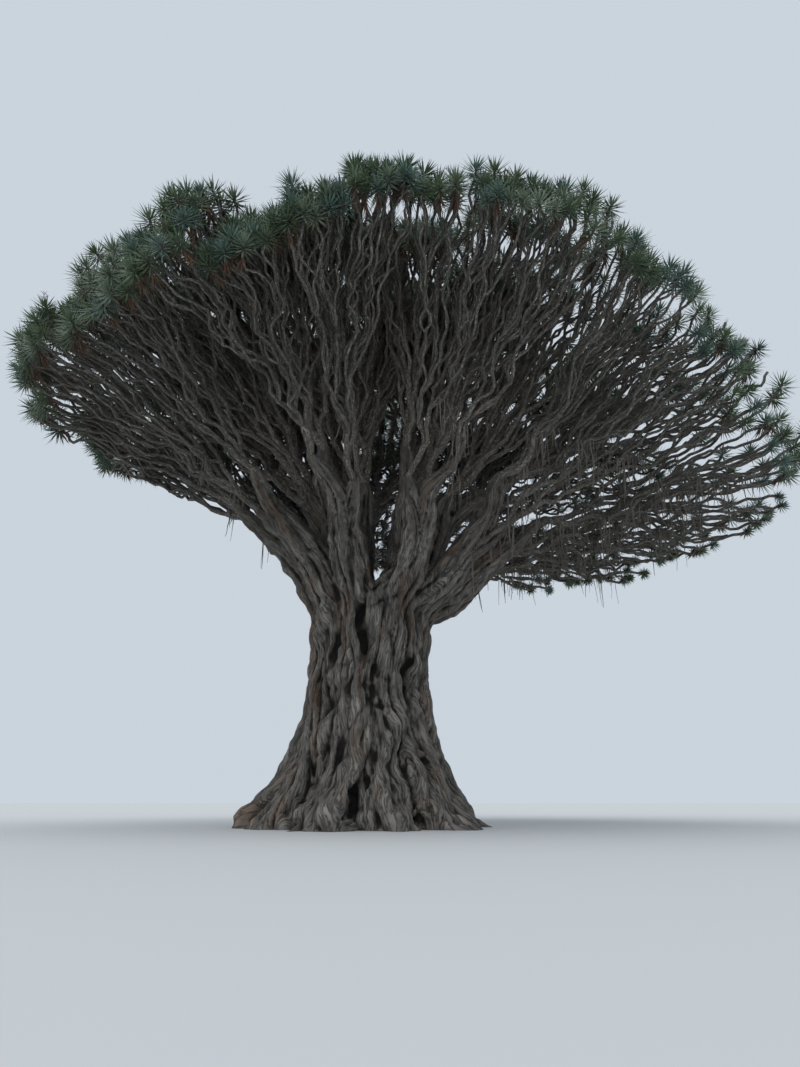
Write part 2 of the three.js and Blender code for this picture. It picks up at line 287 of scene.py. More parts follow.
# Where rosettes stand out of the umbrella or stay back: azimuth, its width, share, its width, metres.
swells = [
    (348, 15, 0.22, 0.15, 0.95),
    (352, 14, -0.03, 0.07, 0.4),
    (330, 12, 0.12, 0.12, -0.25),
    (302, 18, 0.2, 0.15, 0.28),
    (264, 14, 0.37, 0.15, -0.15),
    (244, 8, 0.3, 0.14, 0.25),
    (222, 9, 0.2, 0.14, 0.1),
    (187, 14, 0.16, 0.08, 0.4),
    (193, 9, 0.06, 0.06, 0.4),
    (187, 20, -0.05, 0.07, -0.5),
]


def makeSnake(seed):  # slow waves through the whole crown, so that limbs sway but stay joined
    dice = np.random.default_rng(seed)
    waves = []
    for length in np.linspace(*limbLook["snakeLengths"], 8):
        across = unit(dice.normal(size=3))
        push = squareTo(across, dice.normal(size=3))
        push = push * limbLook["snakeSize"] * length / 3
        waves.append((across * 2 * pi / length, push, dice.uniform(0, 2 * pi)))
    return waves


snakeWaves = makeSnake(11)


def snake(points):
    away = np.linalg.norm(points - headMiddle, axis=1)
    span = limbLook["snakeFull"] - limbLook["snakeFrom"]
    weight = smooth((away - limbLook["snakeFrom"]) / span)[:, None]
    shift = sum(np.sin(points @ across + phase)[:, None] * push for across, push, phase in snakeWaves)
    return points + shift * weight


def wiggled(points, key, length):  # kinks at uneven steps, with none at the ends
    if len(points) < 4:
        return points
    dice = np.random.default_rng(key)
    count = max(2, round(length / limbLook["kinkLength"]))
    kinks = dice.normal(0, limbLook["kinkSize"], (count + 1, 3))
    kinks[[0, -1]] = 0
    places = np.arange(count + 1.0)
    places[1:-1] += dice.uniform(-limbLook["kinkUneven"], limbLook["kinkUneven"], count - 1)
    t = np.linspace(0, count, len(points))
    shift = np.stack([np.interp(t, places, kinks[:, i]) for i in range(3)], axis=1)
    span = lengthAlong(points)
    for _ in range(2):
        waveLength = limbLook["waveLength"] * dice.uniform(*limbLook["waveRange"])
        phase = span * (2 * pi / waveLength) + dice.uniform(0, 2 * pi)
        window = np.minimum(1, np.minimum(span, span[-1] - span) / limbLook["stillEnds"])
        shift += np.outer(np.sin(phase) * window, unit(dice.normal(size=3)) * limbLook["waveSize"])
    along = unit(points[-1] - points[0])
    shift = shift - np.outer(shift @ along, along)
    away = np.linalg.norm(points[0] - headMiddle)
    calm = smooth((away - limbLook["snakeFrom"]) / (limbLook["calmTo"] - limbLook["snakeFrom"]))
    return points + shift * (limbLook["calmNear"] + (1 - limbLook["calmNear"]) * calm)


def swellAt(azimuth, share):
    total = 0
    for place, width, height, heightWidth, size in swells:
        away = (np.degrees(azimuth) - place + 180) % 360 - 180
        total += size * np.exp(-((away / width) ** 2) - ((share - height) / heightWidth) ** 2)
    return total


def forkedShare(fork, patch, forksLeft):  # of the forks that have both their limbs
    top = middleOf(patch)[1] > growth["topFrom"]
    far = fork[0] > growth["farFrom"][0] and fork[1] > growth["farFrom"][1]
    sparse = []
    if fork[0] > limbLook["rightEdge"] and not (far and top):
        sparse = growth["forkedShareRight"]
    elif fork[0] < growth["leftLow"][0] and fork[2] < growth["leftLow"][1]:
        sparse = growth["forkedShareLeft"]
    elif far and not top:
        sparse = growth["forkedShareFar"]
    if forksLeft <= len(sparse):
        return sparse[forksLeft - 1]
    if forksLeft > 1:
        return 1
    return growth["topForkShare" if top else "lastForkShare"]


def newLimb(foot, radius, key):
    return {"points": [foot[None]], "radii": [np.array([radius])], "key": key}


def wayToTip(start, heading, patch, key):  # which stays back or stands out with its neighbours
    lobe, smallLobe = limbLook["lobeSeeds"]
    azimuth, share = middleOf(patch)
    onTop = float(smooth((share - limbLook["topFrom"]) / limbLook["topBlend"]))
    lobeSize = limbLook["lobeSize"] * (1 - limbLook["evenerTop"] * onTop)
    inward = chance(key >> 5, lobe) ** limbLook["lobeSkew"] * lobeSize - limbLook["lobeProud"]
    inward += chance(key >> 3, smallLobe) * limbLook["smallLobeSize"]
    inward += (chance(key, 22) - 0.5) * limbLook["tipVariation"]
    inward += limbLook["topInward"] * onTop
    return wayTo(start, heading, patch, inward - swellAt(azimuth, share), growth["lastUpwardPull"])


def grow(limb, limbs, start, heading, patch, key, forksLeft):
    share = 1
    if forksLeft == 0:
        way = wayToTip(start, heading, patch, key)
    else:
        way = wayTo(start, heading, patch, -limbLook["lobeProud"] / 2)
        uneven = growth["forkShareVariation"] * (chance(key, 1) - 0.5)
        share = growth["fineForkShare"][forksLeft] * (1 + uneven)
    length = np.linalg.norm(pointsOn(way, [share])[0] - start)
    steps = max(2, round(length / limbLook["step"]))
    shares = np.linspace(0, share, steps + 1)
    points = wiggled(pointsOn(way, shares), key, length)
    thickHere = fineRadius(forksLeft)
    thinner = fineRadius(forksLeft - 0.5)
    radii = thickHere + (thinner - thickHere) * shares / share
    limb["points"].append(points[1:] if limb["points"] else points)
    limb["radii"].append(radii[1:] if limb["radii"] else radii)
    if forksLeft == 0:
        limb["tip"] = {"centre": points[-1], "axis": headingOn(way, 1), "key": key}
        return
    fork = points[-1]
    forkHeading = headingOn(way, share)
    parts = halves(patch, 0.5 + growth["splitVariation"] * (chance(key, 2) - 0.5))
    for side, part in enumerate(parts):
        carrier = limb
        if side == 1:
            if chance(key, 3) > forkedShare(fork, patch, forksLeft):
                continue
            foot = fork - forkHeading * growth["rootDepth"] * thinner
            carrier = newLimb(foot, growth["rootThick"] * fineRadius(forksLeft - 1), key)
            limbs.append(carrier)
        turn = turned(fork, forkHeading, part)
        grow(carrier, limbs, fork, turn, part, key * 2 + side, forksLeft - 1)


def halfOf(aside):  # the slot parts the head in two halves
    return -1 if aside[0] < -1e-9 else 1


def makeBoughs():
    boughs = []
    for ring in rings:
        for k in range(ring["count"]):
            azimuth = radians(ring["turn"] + 360 / ring["count"] * k)
            half = pi / ring["count"]
            patch = (azimuth - half, azimuth + half, ring["from"], ring["to"])
            aside = np.array([cos(azimuth), sin(azimuth), 0])
            drop = head["rightDrop"] * max(aside[0], 0) * ring["radius"] / rings[0]["radius"]
            middle = np.array([head["x"] + head["slotHalf"] * halfOf(aside), 0, ring["height"] - drop])
            start = middle + aside * ring["radius"]
            rise = radians(ring["rise"])
            heading = aside * cos(rise) + np.array([0, 0, sin(rise)])
            width, height = sizeOf(patch)
            forks = min(growth["mostForks"], floor(log2(width * height / growth["rosettePatch"]) + 0.5))
            bough = {"number": len(boughs) + 1, "ring": ring, "aside": aside, "patch": patch, "start": start}
            bough["way"] = wayTo(start, heading, patch)
            bough["forks"] = forks
            bough["tipThick"] = growth["boughTipThickening"] * radiusOf(forks - 1)
            boughs.append(bough)
    return boughs


def growMasses(boughs):  # from two stems on each bough
    limbs = []
    for bough in boughs:
        number = bough["number"]
        parts = halves(bough["patch"], 0.5)
        first, second = [umbrella(*middleOf(part)) for part in parts]
        firstToLeave = round(chance(number, 6))
        bough["stems"] = []
        for side, part in enumerate(parts):
            along = growth["laterStem"]
            if side == firstToLeave:
                along = growth["earlierStem"] * (1 + growth["stemVariation"] * (chance(number, 5) - 0.5))
            share = growth["boughShare"] * along
            heading = headingOn(bough["way"], share)
            aside = squareTo(heading, second - first) * (-1 if side == 0 else 1)
            foot = pointsOn(bough["way"], [share])[0] + aside * growth["stemAside"] * bough["tipThick"]
            heading = unit(heading + aside * growth["stemSpread"])
            start = foot + heading * growth["stemLength"] * bough["tipThick"]
            key = (100 + number) * 2 + side
            limb = newLimb(foot, bough["tipThick"] * growth["stemThick"], key)
            limbs.append(limb)
            grow(limb, limbs, start, heading, part, key, bough["forks"] - 1 + growth["moreForks"])
            bough["stems"].append({"along": along, "points": limb["points"][:2]})
    for limb in limbs:
        limb["points"] = np.concatenate(limb["points"])
        limb["radii"] = np.concatenate(limb["radii"])
    return limbs


boughs = makeBoughs()
limbs = growMasses(boughs)
print("grown:", len(boughs), "boughs and", len(limbs), "limbs")


# Mesh making
def newPile():
    return {"points": [], "faces": [], "place": [], "count": 0}


def addToPile(pile, points, faces, place=None):
    pile["points"].append(points)
    pile["faces"].extend(np.asarray(f) + pile["count"] for f in faces)
    if place is not None:
        pile["place"].append(place)
    pile["count"] += len(points)


def meshFrom(name, pile):
    points = np.concatenate(pile["points"])
    corners = np.concatenate([f.ravel() for f in pile["faces"]])
    sizes = np.concatenate([np.full(len(f), f.shape[1]) for f in pile["faces"]])
    starts = np.cumsum(sizes) - sizes
    mesh = bpy.data.meshes.new(name)
    mesh.vertices.add(len(points))
    mesh.vertices.foreach_set("co", points.ravel())
    mesh.loops.add(len(corners))
    mesh.loops.foreach_set("vertex_index", corners.astype(np.int32))
    mesh.polygons.add(len(sizes))
    mesh.polygons.foreach_set("loop_start", starts.astype(np.int32))
    mesh.update(calc_edges=True)
    mesh.shade_smooth()
    if pile["place"]:
        storeVectors(mesh, "barkPlace", np.concatenate(pile["place"]))
    return mesh


def storeVectors(mesh, name, values):
    mesh.attributes.new(name, "FLOAT_VECTOR", "POINT").data.foreach_set("vector", values.ravel())


def storeNumbers(mesh, name, values):
    mesh.attributes.new(name, "FLOAT", "POINT").data.foreach_set("value", values)


def addPiece(name, mesh, material, nodes):
    piece = bpy.data.objects.new(name, mesh)
    bpy.context.scene.collection.objects.link(piece)
    mesh.materials.clear()
    mesh.materials.append(material)
    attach(piece, "root")
    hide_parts(*nodes)
    print("piece:", name, sum(len(p.vertices) - 2 for p in mesh.polygons), "triangles")


def addPilePiece(name, pile, material):
    addPiece(name, meshFrom(name, pile), material, foliageNames)


def framesAlong(points):  # a side and an upper side at each point, without twist
    along = np.gradient(points, axis=0)
    along /= np.linalg.norm(along, axis=1)[:, None]
    sides = np.empty_like(points)
    side = np.array([0, 0, 1.0]) if abs(along[0][2]) < 0.9 else np.array([1.0, 0, 0])
    for i, axis in enumerate(along):
        side = side - axis * side.dot(axis)
        side /= sqrt(side.dot(side))
        sides[i] = side
    return along, sides, np.cross(along, sides)


def addTube(pile, points, radii, sides=10, shift=None):
    along, side, other = framesAlong(points)
    turn = 2 * pi * np.arange(sides) / sides
    ringX = radii[:, None] * np.cos(turn)
    ringY = radii[:, None] * np.sin(turn)
    corners = points[:, None] + ringX[..., None] * side[:, None] + ringY[..., None] * other[:, None]
    rows = np.arange(len(points) - 1)[:, None] * sides
    k = np.arange(sides)
    a = rows + k
    b = rows + (k + 1) % sides
    walls = np.stack([a, b, b + sides, a + sides], axis=-1).reshape(-1, 4)
    last = (len(points) - 1) * sides
    ends = [k[::-1][None], k[None] + last]
    place = None
    if shift is not None:
        length = np.broadcast_to(lengthAlong(points)[:, None], ringX.shape)
        place = np.stack([ringX, ringY, length], axis=-1).reshape(-1, 3) + shift
    addToPile(pile, corners.reshape(-1, 3), [walls, *ends], place)


def evenly(points, radii, step):  # the same line with points a step apart, its bends eased
    length = lengthAlong(points)
    count = max(3, round(length[-1] / step) + 1)
    at = np.linspace(0, length[-1], count)
    line = np.stack([np.interp(at, length, points[:, i]) for i in range(3)], axis=1)
    thick = np.interp(at, length, radii)
    for _ in range(4):
        line[1:-1] = (line[:-2] + 2 * line[1:-1] + line[2:]) / 4
        thick[1:-1] = (thick[:-2] + 2 * thick[1:-1] + thick[2:]) / 4
    return line, thick


# Trunk and boughs: a bundle of closed ropes, melted into one skin by a voxel remesh
woodLook = {
    "voxel": 0.045,
    "keptFaces": 0.6,  # of the remesh, after the relief is cut
    "foot": -0.3,  # everything starts below the ground, where it is cut
    "columnTop": 5.7,
    "innerColumnFoot": 4.5,
    "innerColumnBlend": 1.2,
    "columnShare": 0.88,
    "slotWider": 0.16,
    "grainRoundTrunk": 1.45,  # radii that the grain is laid out on
    "grainRoundBough": 0.38,
    "grainSways": [(0.3, 1.7, 6), (0.07, 0.7, 7)],  # size, length and seed
    "grainSpiral": 0.05,
    "grainChange": (5.0, 6.2),  # heights between which it goes over from the trunk to the boughs
    "cordSize": (0.17, 2.3),  # width and length
    "cordDepth": 0.12,
    "cordLessOnBoughs": 0.25,
    "fibreSize": (0.08, 1.3),
    "fibreDepth": 0.04,
    "lumpSize": 0.36,
    "lumpDepth": 0.055,
    "flatFoot": 0.25,  # the relief fades out over this height above the ground
    "hollows": [("recess", 12, 0.035), ("hollow", 60, 0.11)],  # rounds of easing, and the deepest; the bark is painted darker in these as painted shade
    "trunkTop": 6.3,  # skin below this belongs to the trunk
    "trunkTopVariation": 0.4,
    "pitShare": 0.9,  # of the depths in the list of pits
}

# Thin ropes round the trunk, laid over its columns
ropeLook = {
    "count": 52,
    "thick": (0.045, 0.14),
    "thickSkew": 1.6,
    "top": 5.9,
    "fromGround": 0.72,  # of them, and the others start at these heights
    "starts": (0.6, 3.0),
    "toTop": 0.66,  # of them, and the others end up to this far below it
    "endsLower": 2.6,
    "step": 0.16,
    "uneven": 0.7,  # of the angle between two ropes
    "wander": 0.26,
    "waves": (0.9, 1.8),
    "ripples": (2.6, 4.0),
    "drift": 0.12,
    "driftAbout": 3,  # this height
    "knobs": 0.18,
    "flare": 0.45,
    "flareTop": 1.8,
    "sink": (0.3, 0.8),
    "endSink": 1.3,
    "fade": (0.5, 0.6),  # how long the lower and the upper end take to rise out of the wood
}

# Root toes that run out and down from the flare
toeLook = {
    "count": 30,
    "foot": -0.25,
    "tops": (1.0, 2.3),
    "thick": (0.1, 0.23),
    "thicker": (0.75, 0.7),  # at the top, and more than that at the foot
    "sink": (0.55, 0.25),
    "uneven": 0.8,
    "bend": 0.12,
    "reach": 0.55,
}

# The skin of the boughs: a body with ropes that wind along it
boughLook = {
    "columnHeights": [4.0, 4.6, 5.2, 5.7],  # where a bough's line leaves its column
    "body": 0.84,
    "thinning": 0.25,  # past its first stem
    "thinningFrom": 0.15,
    "thinningOver": 0.4,
    "stemFootThick": 0.85,
    "stemEndThick": 0.92,
    "step": 0.16,
    "ropes": 6,
    "ropeThick": 0.31,
    "ropeSizes": (0.8, 1.3),
    "uneven": 0.6,  # of the angle between two ropes
    "wind": 0.22,
    "sway": 0.35,
    "swayWaves": (0.8, 1.8),
    "knobs": 0.12,
    "ropeOut": (0.86, 0.35),  # in radii of the bough, less this many of the rope
    "footSpread": 0.6,
    "footLength": 0.9,
}

# The strands that stand out most: radius, then azimuth in degrees and height along each.
# They and the pits and burls are repeated half a turn on, so that the far side is as rich.
strandLook = {"sink": 0.05, "footThick": 0.45, "topThick": 0.6, "step": 0.15, "knobs": 0.14}
strands = [
    (0.24, [(248, 6.9), (264, 5.85), (278, 5), (286, 4.25), (295, 3.6), (306, 3.1), (296, 2.3), (292, 1.5)]),
    (0.27, [(304, 6.9), (297, 6.3), (292, 5.4), (301, 4.6), (296, 3.8), (284, 3.2)]),
    (0.22, [(332, 6.5), (325, 5.5), (343, 4.7), (343, 3.8), (351, 2.8), (358, 1.4), (362, 0.3)]),
    (0.23, [(215, 6.9), (223, 6.4), (222, 5.4), (200, 4.7), (198, 3.8), (216, 2.8), (222, 1.6)]),
    (0.19, [(234, 6.9), (236, 6.3), (250, 5.4), (257, 4.5), (260, 3.7), (265, 3.1), (258, 2.4)]),
    (0.26, [(279, 3.2), (271, 2.4), (264, 1.6), (260, 1.0), (258, 0.3), (258, -0.2)]),
    (0.25, [(247, 3.2), (233, 2.5), (227, 1.8), (220, 1.2), (206, 0.5), (200, -0.2)]),
    (0.2, [(293, 2.6), (285, 1.5), (279, 0.8), (277, -0.2)]),
    (0.22, [(309, 3.0), (310, 2.1), (312, 1.0), (314, -0.2)]),
    (0.21, [(330, 3.3), (333, 2.2), (330, 1.1), (327, -0.2)]),
    (0.16, [(316, 5.9), (309, 5.0), (322, 4.3), (327, 3.4), (318, 2.6)]),
    (0.15, [(243, 4.4), (240, 3.6), (250, 2.9), (246, 2.1), (250, 1.3)]),
]

# Pits: azimuth in degrees, height, half width, half height, depth.
pits = [
    (263, 5.25, 0.1, 0.75, 0.24),
    (314, 3.9, 0.09, 0.8, 0.26),
    (232, 4.45, 0.12, 0.55, 0.22),
    (277, 3.75, 0.1, 0.28, 0.12),
    (287, 2.92, 0.22, 0.07, 0.1),
    (296, 2.0, 0.08, 0.4, 0.13),
    (229, 2.9, 0.09, 0.5, 0.16),
    (266, 0.75, 0.08, 0.45, 0.18),
    (301, 5.7, 0.07, 0.55, 0.14),
    (321, 1.6, 0.24, 0.07, 0.09),
    (206, 5.6, 0.08, 0.7, 0.18),
    (338, 5.3, 0.08, 0.7, 0.18),
    (248, 6.1, 0.07, 0.7, 0.16),
    (283, 6.3, 0.08, 0.6, 0.16),
    (219, 3.6, 0.1, 0.5, 0.2),
    (241, 3.3, 0.06, 0.3, 0.16),
    (254, 4.2, 0.07, 0.35, 0.16),
    (270, 2.2, 0.07, 0.3, 0.14),
    (305, 4.7, 0.06, 0.4, 0.15),
    (330, 3.2, 0.08, 0.45, 0.16),
    (252, 1.7, 0.08, 0.35, 0.14),
    (290, 1.0, 0.09, 0.35, 0.15),
    (240, 0.9, 0.08, 0.4, 0.16),
    (213, 1.2, 0.09, 0.4, 0.15),
]

# Burls and old wounds: azimuth in degrees, height, radius of the ring, thickness of its lip.
burlLook = {"sink": 0.4, "wide": 0.8, "tall": 1.1, "points": 15}
burls = [
    (277, 3.72, 0.22, 0.08),
    (233, 4.2, 0.22, 0.08),
    (287, 2.9, 0.26, 0.08),
    (262, 2.5, 0.16, 0.07),
    (318, 1.5, 0.32, 0.09),
    (228, 1.3, 0.3, 0.09),
    (206, 2.4, 0.22, 0.08),
    (348, 4.1, 0.2, 0.075),
]
bothSides = (0, 180)


def axisAt(height):  # the middle of the trunk, which leans a little
    height = np.asarray(height, float)
    return np.stack([np.maximum(height, 0) * trunk["lean"], height * 0, height], axis=-1)


def slotShift(bough):  # the inner boughs keep clear of the slot between the two halves
    return woodLook["slotWider"] * halfOf(bough["aside"])


def columnAt(bough, height):  # middle and radius of a column of the trunk
    number = bough["number"]
    height = np.asarray(height, float)
    outer = bough["ring"] is rings[0]
    toe = trunk["toeVariation"] * (chance(number, 3) + trunk["toeShortest"])
    nearGround = np.maximum(0, 1 - np.maximum(height, 0) / trunk["toeTop"])
    if outer:
        spread = np.interp(height, trunk["heights"], trunk["ring"]) + toe * nearGround
        thicker = trunk["columnThick"] + trunk["columnMore"] * chance(number, 4)
    else:
        spread = np.full(height.shape, trunk["innerSpread"] * bough["ring"]["radius"])
        thicker = trunk["innerThick"]
    middle = axisAt(height) + spread[..., None] * bough["aside"]
    if not outer:
        blend = (height - woodLook["innerColumnFoot"]) / woodLook["innerColumnBlend"]
        middle[..., 0] += slotShift(bough) * smooth(blend)
    return middle, np.interp(height, trunk["heights"], trunk["thick"]) * thicker


def placeAt(azimuth, height, reach):
    out = np.stack([np.cos(azimuth), np.sin(azimuth), azimuth * 0], axis=-1)
    return axisAt(height) + reach[:, None] * out


def envelope(azimuth, height):  # how far the columns reach out of the axis
    direction = np.stack([np.cos(azimuth), np.sin(azimuth)], axis=-1)
    reach = np.interp(height, trunk["coreHeights"], trunk["coreThick"])
    for bough in boughs[: rings[0]["count"]]:
        middle, thick = columnAt(bough, height)
        offset = (middle - axisAt(height))[..., :2]
        along = (direction * offset).sum(-1)
        inside = thick**2 - (offset**2).sum(-1) + along**2
        reach = np.where(inside > 0, np.maximum(reach, along + np.sqrt(np.maximum(inside, 0))), reach)
    return reach


def makeWood():
    pile = newPile()
    addRope = partial(addTube, pile)
    core = axisAt(trunk["coreHeights"])
    addRope(core, np.array(trunk["coreThick"]) * woodLook["columnShare"], 24)
    for side in (-1, 1):
        low = axisAt(trunk["halfCoreFrom"]) + np.array([side * trunk["halfCoreLow"], 0, 0])
        high = np.array([head["x"] + side * trunk["halfCoreHigh"], 0, trunk["halfCoreTo"]])
        thick = np.full(5, trunk["halfCoreThick"] * woodLook["columnShare"])
        addRope(np.linspace(low, high, 5), thick, 16)
    addColumns(addRope)
    addStrands(addRope)
    addTrunkRopes(addRope)
    addToes(addRope)
    addBurls(addRope)
    addBoughRopes(addRope)
    return pile


def addColumns(addRope):
    for bough in boughs:
        outer = bough["ring"] is rings[0]
        foot, count = (woodLook["foot"], 14) if outer else (woodLook["innerColumnFoot"], 4)
        heights = np.linspace(foot, woodLook["columnTop"], count)
        middle, thick = columnAt(bough, heights)
        start = bough["start"] + np.array([0 if outer else slotShift(bough), 0, 0])
        points = np.vstack([middle, start])
        radii = np.append(thick, bough["ring"]["thick"]) * woodLook["columnShare"]
        addRope(*evenly(points, radii, 0.3), 16)


def addStrands(addRope):
    for turn in bothSides:
        for radius, places in strands:
            azimuths, heights = np.radians(places)[:, 0] + radians(turn), np.array(places)[:, 1]
            ends = np.array([strandLook["footThick"]] + [1.0] * (len(places) - 2) + [strandLook["topThick"]])
            reach = envelope(azimuths, heights) - radius * strandLook["sink"] - radius * (1 - ends)
            line, thick = evenly(placeAt(azimuths, heights, reach), radius * ends, strandLook["step"])
            knobs = strandLook["knobs"] * np.sin(lengthAlong(line) * 3.7 + radius * 90)
            addRope(line, thick * (1 + knobs), 12)


def addTrunkRopes(addRope):
    count, top = ropeLook["count"], ropeLook["top"]
    for k in range(count):
        fromGround = chance(k, 31) < ropeLook["fromGround"]
        low = woodLook["foot"] if fromGround else between(ropeLook["starts"], k, 32)
        high = top - (0 if chance(k, 33) < ropeLook["toTop"] else ropeLook["endsLower"] * chance(k, 34))
        heights = np.arange(low, high, ropeLook["step"])
        wave = np.sin(heights * between(ropeLook["waves"], k, 35) + 6 * chance(k, 36))
        ripple = np.sin(heights * between(ropeLook["ripples"], k, 37) + 6 * chance(k, 38))
        drift = (chance(k, 39) - 0.5) * ropeLook["drift"] * (heights - ropeLook["driftAbout"])
        azimuth = 2 * pi * (k + ropeLook["uneven"] * chance(k, 40)) / count + drift
        azimuth = azimuth + ropeLook["wander"] * (0.7 * wave + 0.3 * ripple)
        thick = between(ropeLook["thick"], k, 41, ropeLook["thickSkew"])
        flare = 1 + ropeLook["flare"] * smooth((ropeLook["flareTop"] - heights) / ropeLook["flareTop"])
        radii = thick * flare * (1 + ropeLook["knobs"] * np.sin(heights * 3.1 + 5 * chance(k, 42)))
        lowFade, highFade = ropeLook["fade"]
        ends = np.ones(len(heights)) if fromGround else smooth((heights - low) / lowFade)
        if high < top - 0.1:
            ends = ends * smooth((high - heights) / highFade)
        sink = radii * between(ropeLook["sink"], k, 43) + (1 - ends) * thick * ropeLook["endSink"]
        addRope(placeAt(azimuth, heights, envelope(azimuth, heights) - sink), radii)


def addToes(addRope):
    count, foot = toeLook["count"], toeLook["foot"]
    atTop, more = toeLook["thicker"]
    deep, less = toeLook["sink"]
    for k in range(count):
        top = between(toeLook["tops"], k, 52)
        heights = np.linspace(top, foot, 12)
        down = 1 - (heights - foot) / (top - foot)
        azimuth = 2 * pi * (k + toeLook["uneven"] * chance(k, 51)) / count
        azimuth = azimuth + toeLook["bend"] * np.sin(down * 4 + 6 * chance(k, 53)) * down
        radii = between(toeLook["thick"], k, 54) * (atTop + more * down)
        out = toeLook["reach"] * chance(k, 55) ** 1.5 * down**3
        reach = envelope(azimuth, heights) - radii * (deep - less * down) + out
        reach[:2] -= radii[:2] * 0.5
        addRope(placeAt(azimuth, heights, reach), radii)


def addBurls(addRope):
    for azimuth, height, ring, lip in [(b[0] + turn, *b[1:]) for b in burls for turn in bothSides]:
        azimuth = radians(azimuth)
        reach = float(envelope(np.array([azimuth]), np.array([height]))[0])
        out = np.array([cos(azimuth), sin(azimuth), 0])
        across = np.array([-out[1], out[0], 0])
        middle = axisAt(height) + out * (reach - lip * burlLook["sink"])
        turn = np.linspace(0, 2 * pi, burlLook["points"])
        wobble = ring * (1 + 0.2 * np.sin(2 * turn + height) + 0.12 * np.sin(3 * turn + ring * 40))
        loop = middle + np.outer(np.cos(turn) * wobble * burlLook["wide"], across)
        loop = loop + np.outer(np.sin(turn) * wobble * burlLook["tall"], np.array([0, 0, 1]))
        addRope(loop, np.full(burlLook["points"], lip), 8)


def boughLine(bough, side):  # up its column, along the bough and up one of its two stems
    middle, thick = columnAt(bough, boughLook["columnHeights"])
    stem = bough["stems"][side]
    foot, first = stem["points"]
    along = np.linspace(0, stem["along"], 9)
    points = pointsOn(bough["way"], along * growth["boughShare"])
    if bough["ring"] is not rings[0]:
        points[:, 0] += slotShift(bough) * (1 - smooth(along / 0.5))
    radii = bough["ring"]["thick"] + (bough["tipThick"] - bough["ring"]["thick"]) * along
    pastFirst = along - min(stem["along"] for stem in bough["stems"]) + boughLook["thinningFrom"]
    radii = radii * (1 - boughLook["thinning"] * smooth(pastFirst / boughLook["thinningOver"]))
    lastRadius = boughLook["stemEndThick"] * fineRadius(bough["forks"] - 1.5 + growth["moreForks"])
    stemRadii = np.linspace(radii[-1] * boughLook["stemFootThick"], lastRadius, len(first))
    points = np.vstack([middle, points[:-1], (points[-1] + foot[0]) / 2, first])
    line, thick = evenly(points, np.concatenate([thick, radii, stemRadii]), boughLook["step"])
    return snake(line), thick


def addBoughRopes(addRope):
    count = boughLook["ropes"]
    out, sunk = boughLook["ropeOut"]
    for bough, side in product(boughs, (0, 1)):
        points, radii = boughLine(bough, side)
        _, near, other = framesAlong(points)
        length = lengthAlong(points)
        addRope(points, radii * boughLook["body"], 14)
        spread = boughLook["footSpread"]
        spread = spread + (1 - spread) * smooth(length / boughLook["footLength"])
        for k in range(count):
            key = bough["number"] * 20 + side * 10 + k
            angle = 2 * pi * (k + boughLook["uneven"] * chance(key, 61)) / count
            angle = angle + (chance(key, 62) - 0.5) * boughLook["wind"] * length
            waves = length * between(boughLook["swayWaves"], key, 63) + 6 * chance(key, 64)
            angle = (angle + boughLook["sway"] * np.sin(waves))[:, None]
            thick = radii * boughLook["ropeThick"] * between(boughLook["ropeSizes"], key, 65)
            thick = thick * (1 + boughLook["knobs"] * np.sin(length * 3.3 + 6 * chance(key, 66)))
            away = (radii * out - thick * sunk) * spread
            line = points + (np.cos(angle) * near + np.sin(angle) * other) * away[:, None]
            addRope(line, thick)


def modified(mesh, kind, **settings):  # takes the place of the mesh
    holder = bpy.data.objects.new("holder", mesh)
    bpy.context.scene.collection.objects.link(holder)
    modifier = holder.modifiers.new(kind, kind)
    for name, value in settings.items():
        setattr(modifier, name, value)
    seen = holder.evaluated_get(bpy.context.evaluated_depsgraph_get())
    result = bpy.data.meshes.new_from_object(seen)
    bpy.data.objects.remove(holder)
    bpy.data.meshes.remove(mesh)
    return result


def cutAtGround(mesh):
    solid = bmesh.new()
    solid.from_mesh(mesh)
    everything = solid.verts[:] + solid.edges[:] + solid.faces[:]
    ground = {"plane_co": (0, 0, 0), "plane_no": (0, 0, -1)}
    cut = bmesh.ops.bisect_plane(solid, geom=everything, clear_outer=True, **ground)
    rim = [e for e in cut["geom_cut"] if isinstance(e, bmesh.types.BMEdge)]
    bmesh.ops.holes_fill(solid, edges=rim, sides=0)
    solid.to_mesh(mesh)
    solid.free()


def readNumbers(parts, name, width, kind=np.float32):
    values = np.empty(len(parts) * width, kind)
    parts.foreach_get(name, values)
    return values.reshape(-1, width)


def readMesh(mesh):
    points = readNumbers(mesh.vertices, "co", 3).astype(float)
    normals = readNumbers(mesh.vertex_normals, "vector", 3).astype(float)
    return points, normals, readNumbers(mesh.edges, "vertices", 2, np.int32)


def largestIsland(points, edges):  # marks the vertices of the largest connected piece
    label = np.arange(len(points))
    while True:
        low = np.minimum(label[edges[:, 0]], label[edges[:, 1]])
        new = label.copy()
        np.minimum.at(new, edges[:, 0], low)
        np.minimum.at(new, edges[:, 1], low)
        new = new[new]
        if (new == label).all():
            break
        label = new
    names, sizes = np.unique(label, return_counts=True)
    return label == names[sizes.argmax()]


def relaxed(points, edges, times):
    count = np.bincount(edges.ravel(), minlength=len(points))[:, None]
    first, second = edges.T
    for _ in range(times):
        total = np.empty_like(points)
        for i in range(3):
            fromSecond = np.bincount(first, points[second, i], len(points))
            total[:, i] = fromSecond + np.bincount(second, points[first, i], len(points))
        points = 0.4 * points + 0.6 * total / np.maximum(count, 1)
    return points


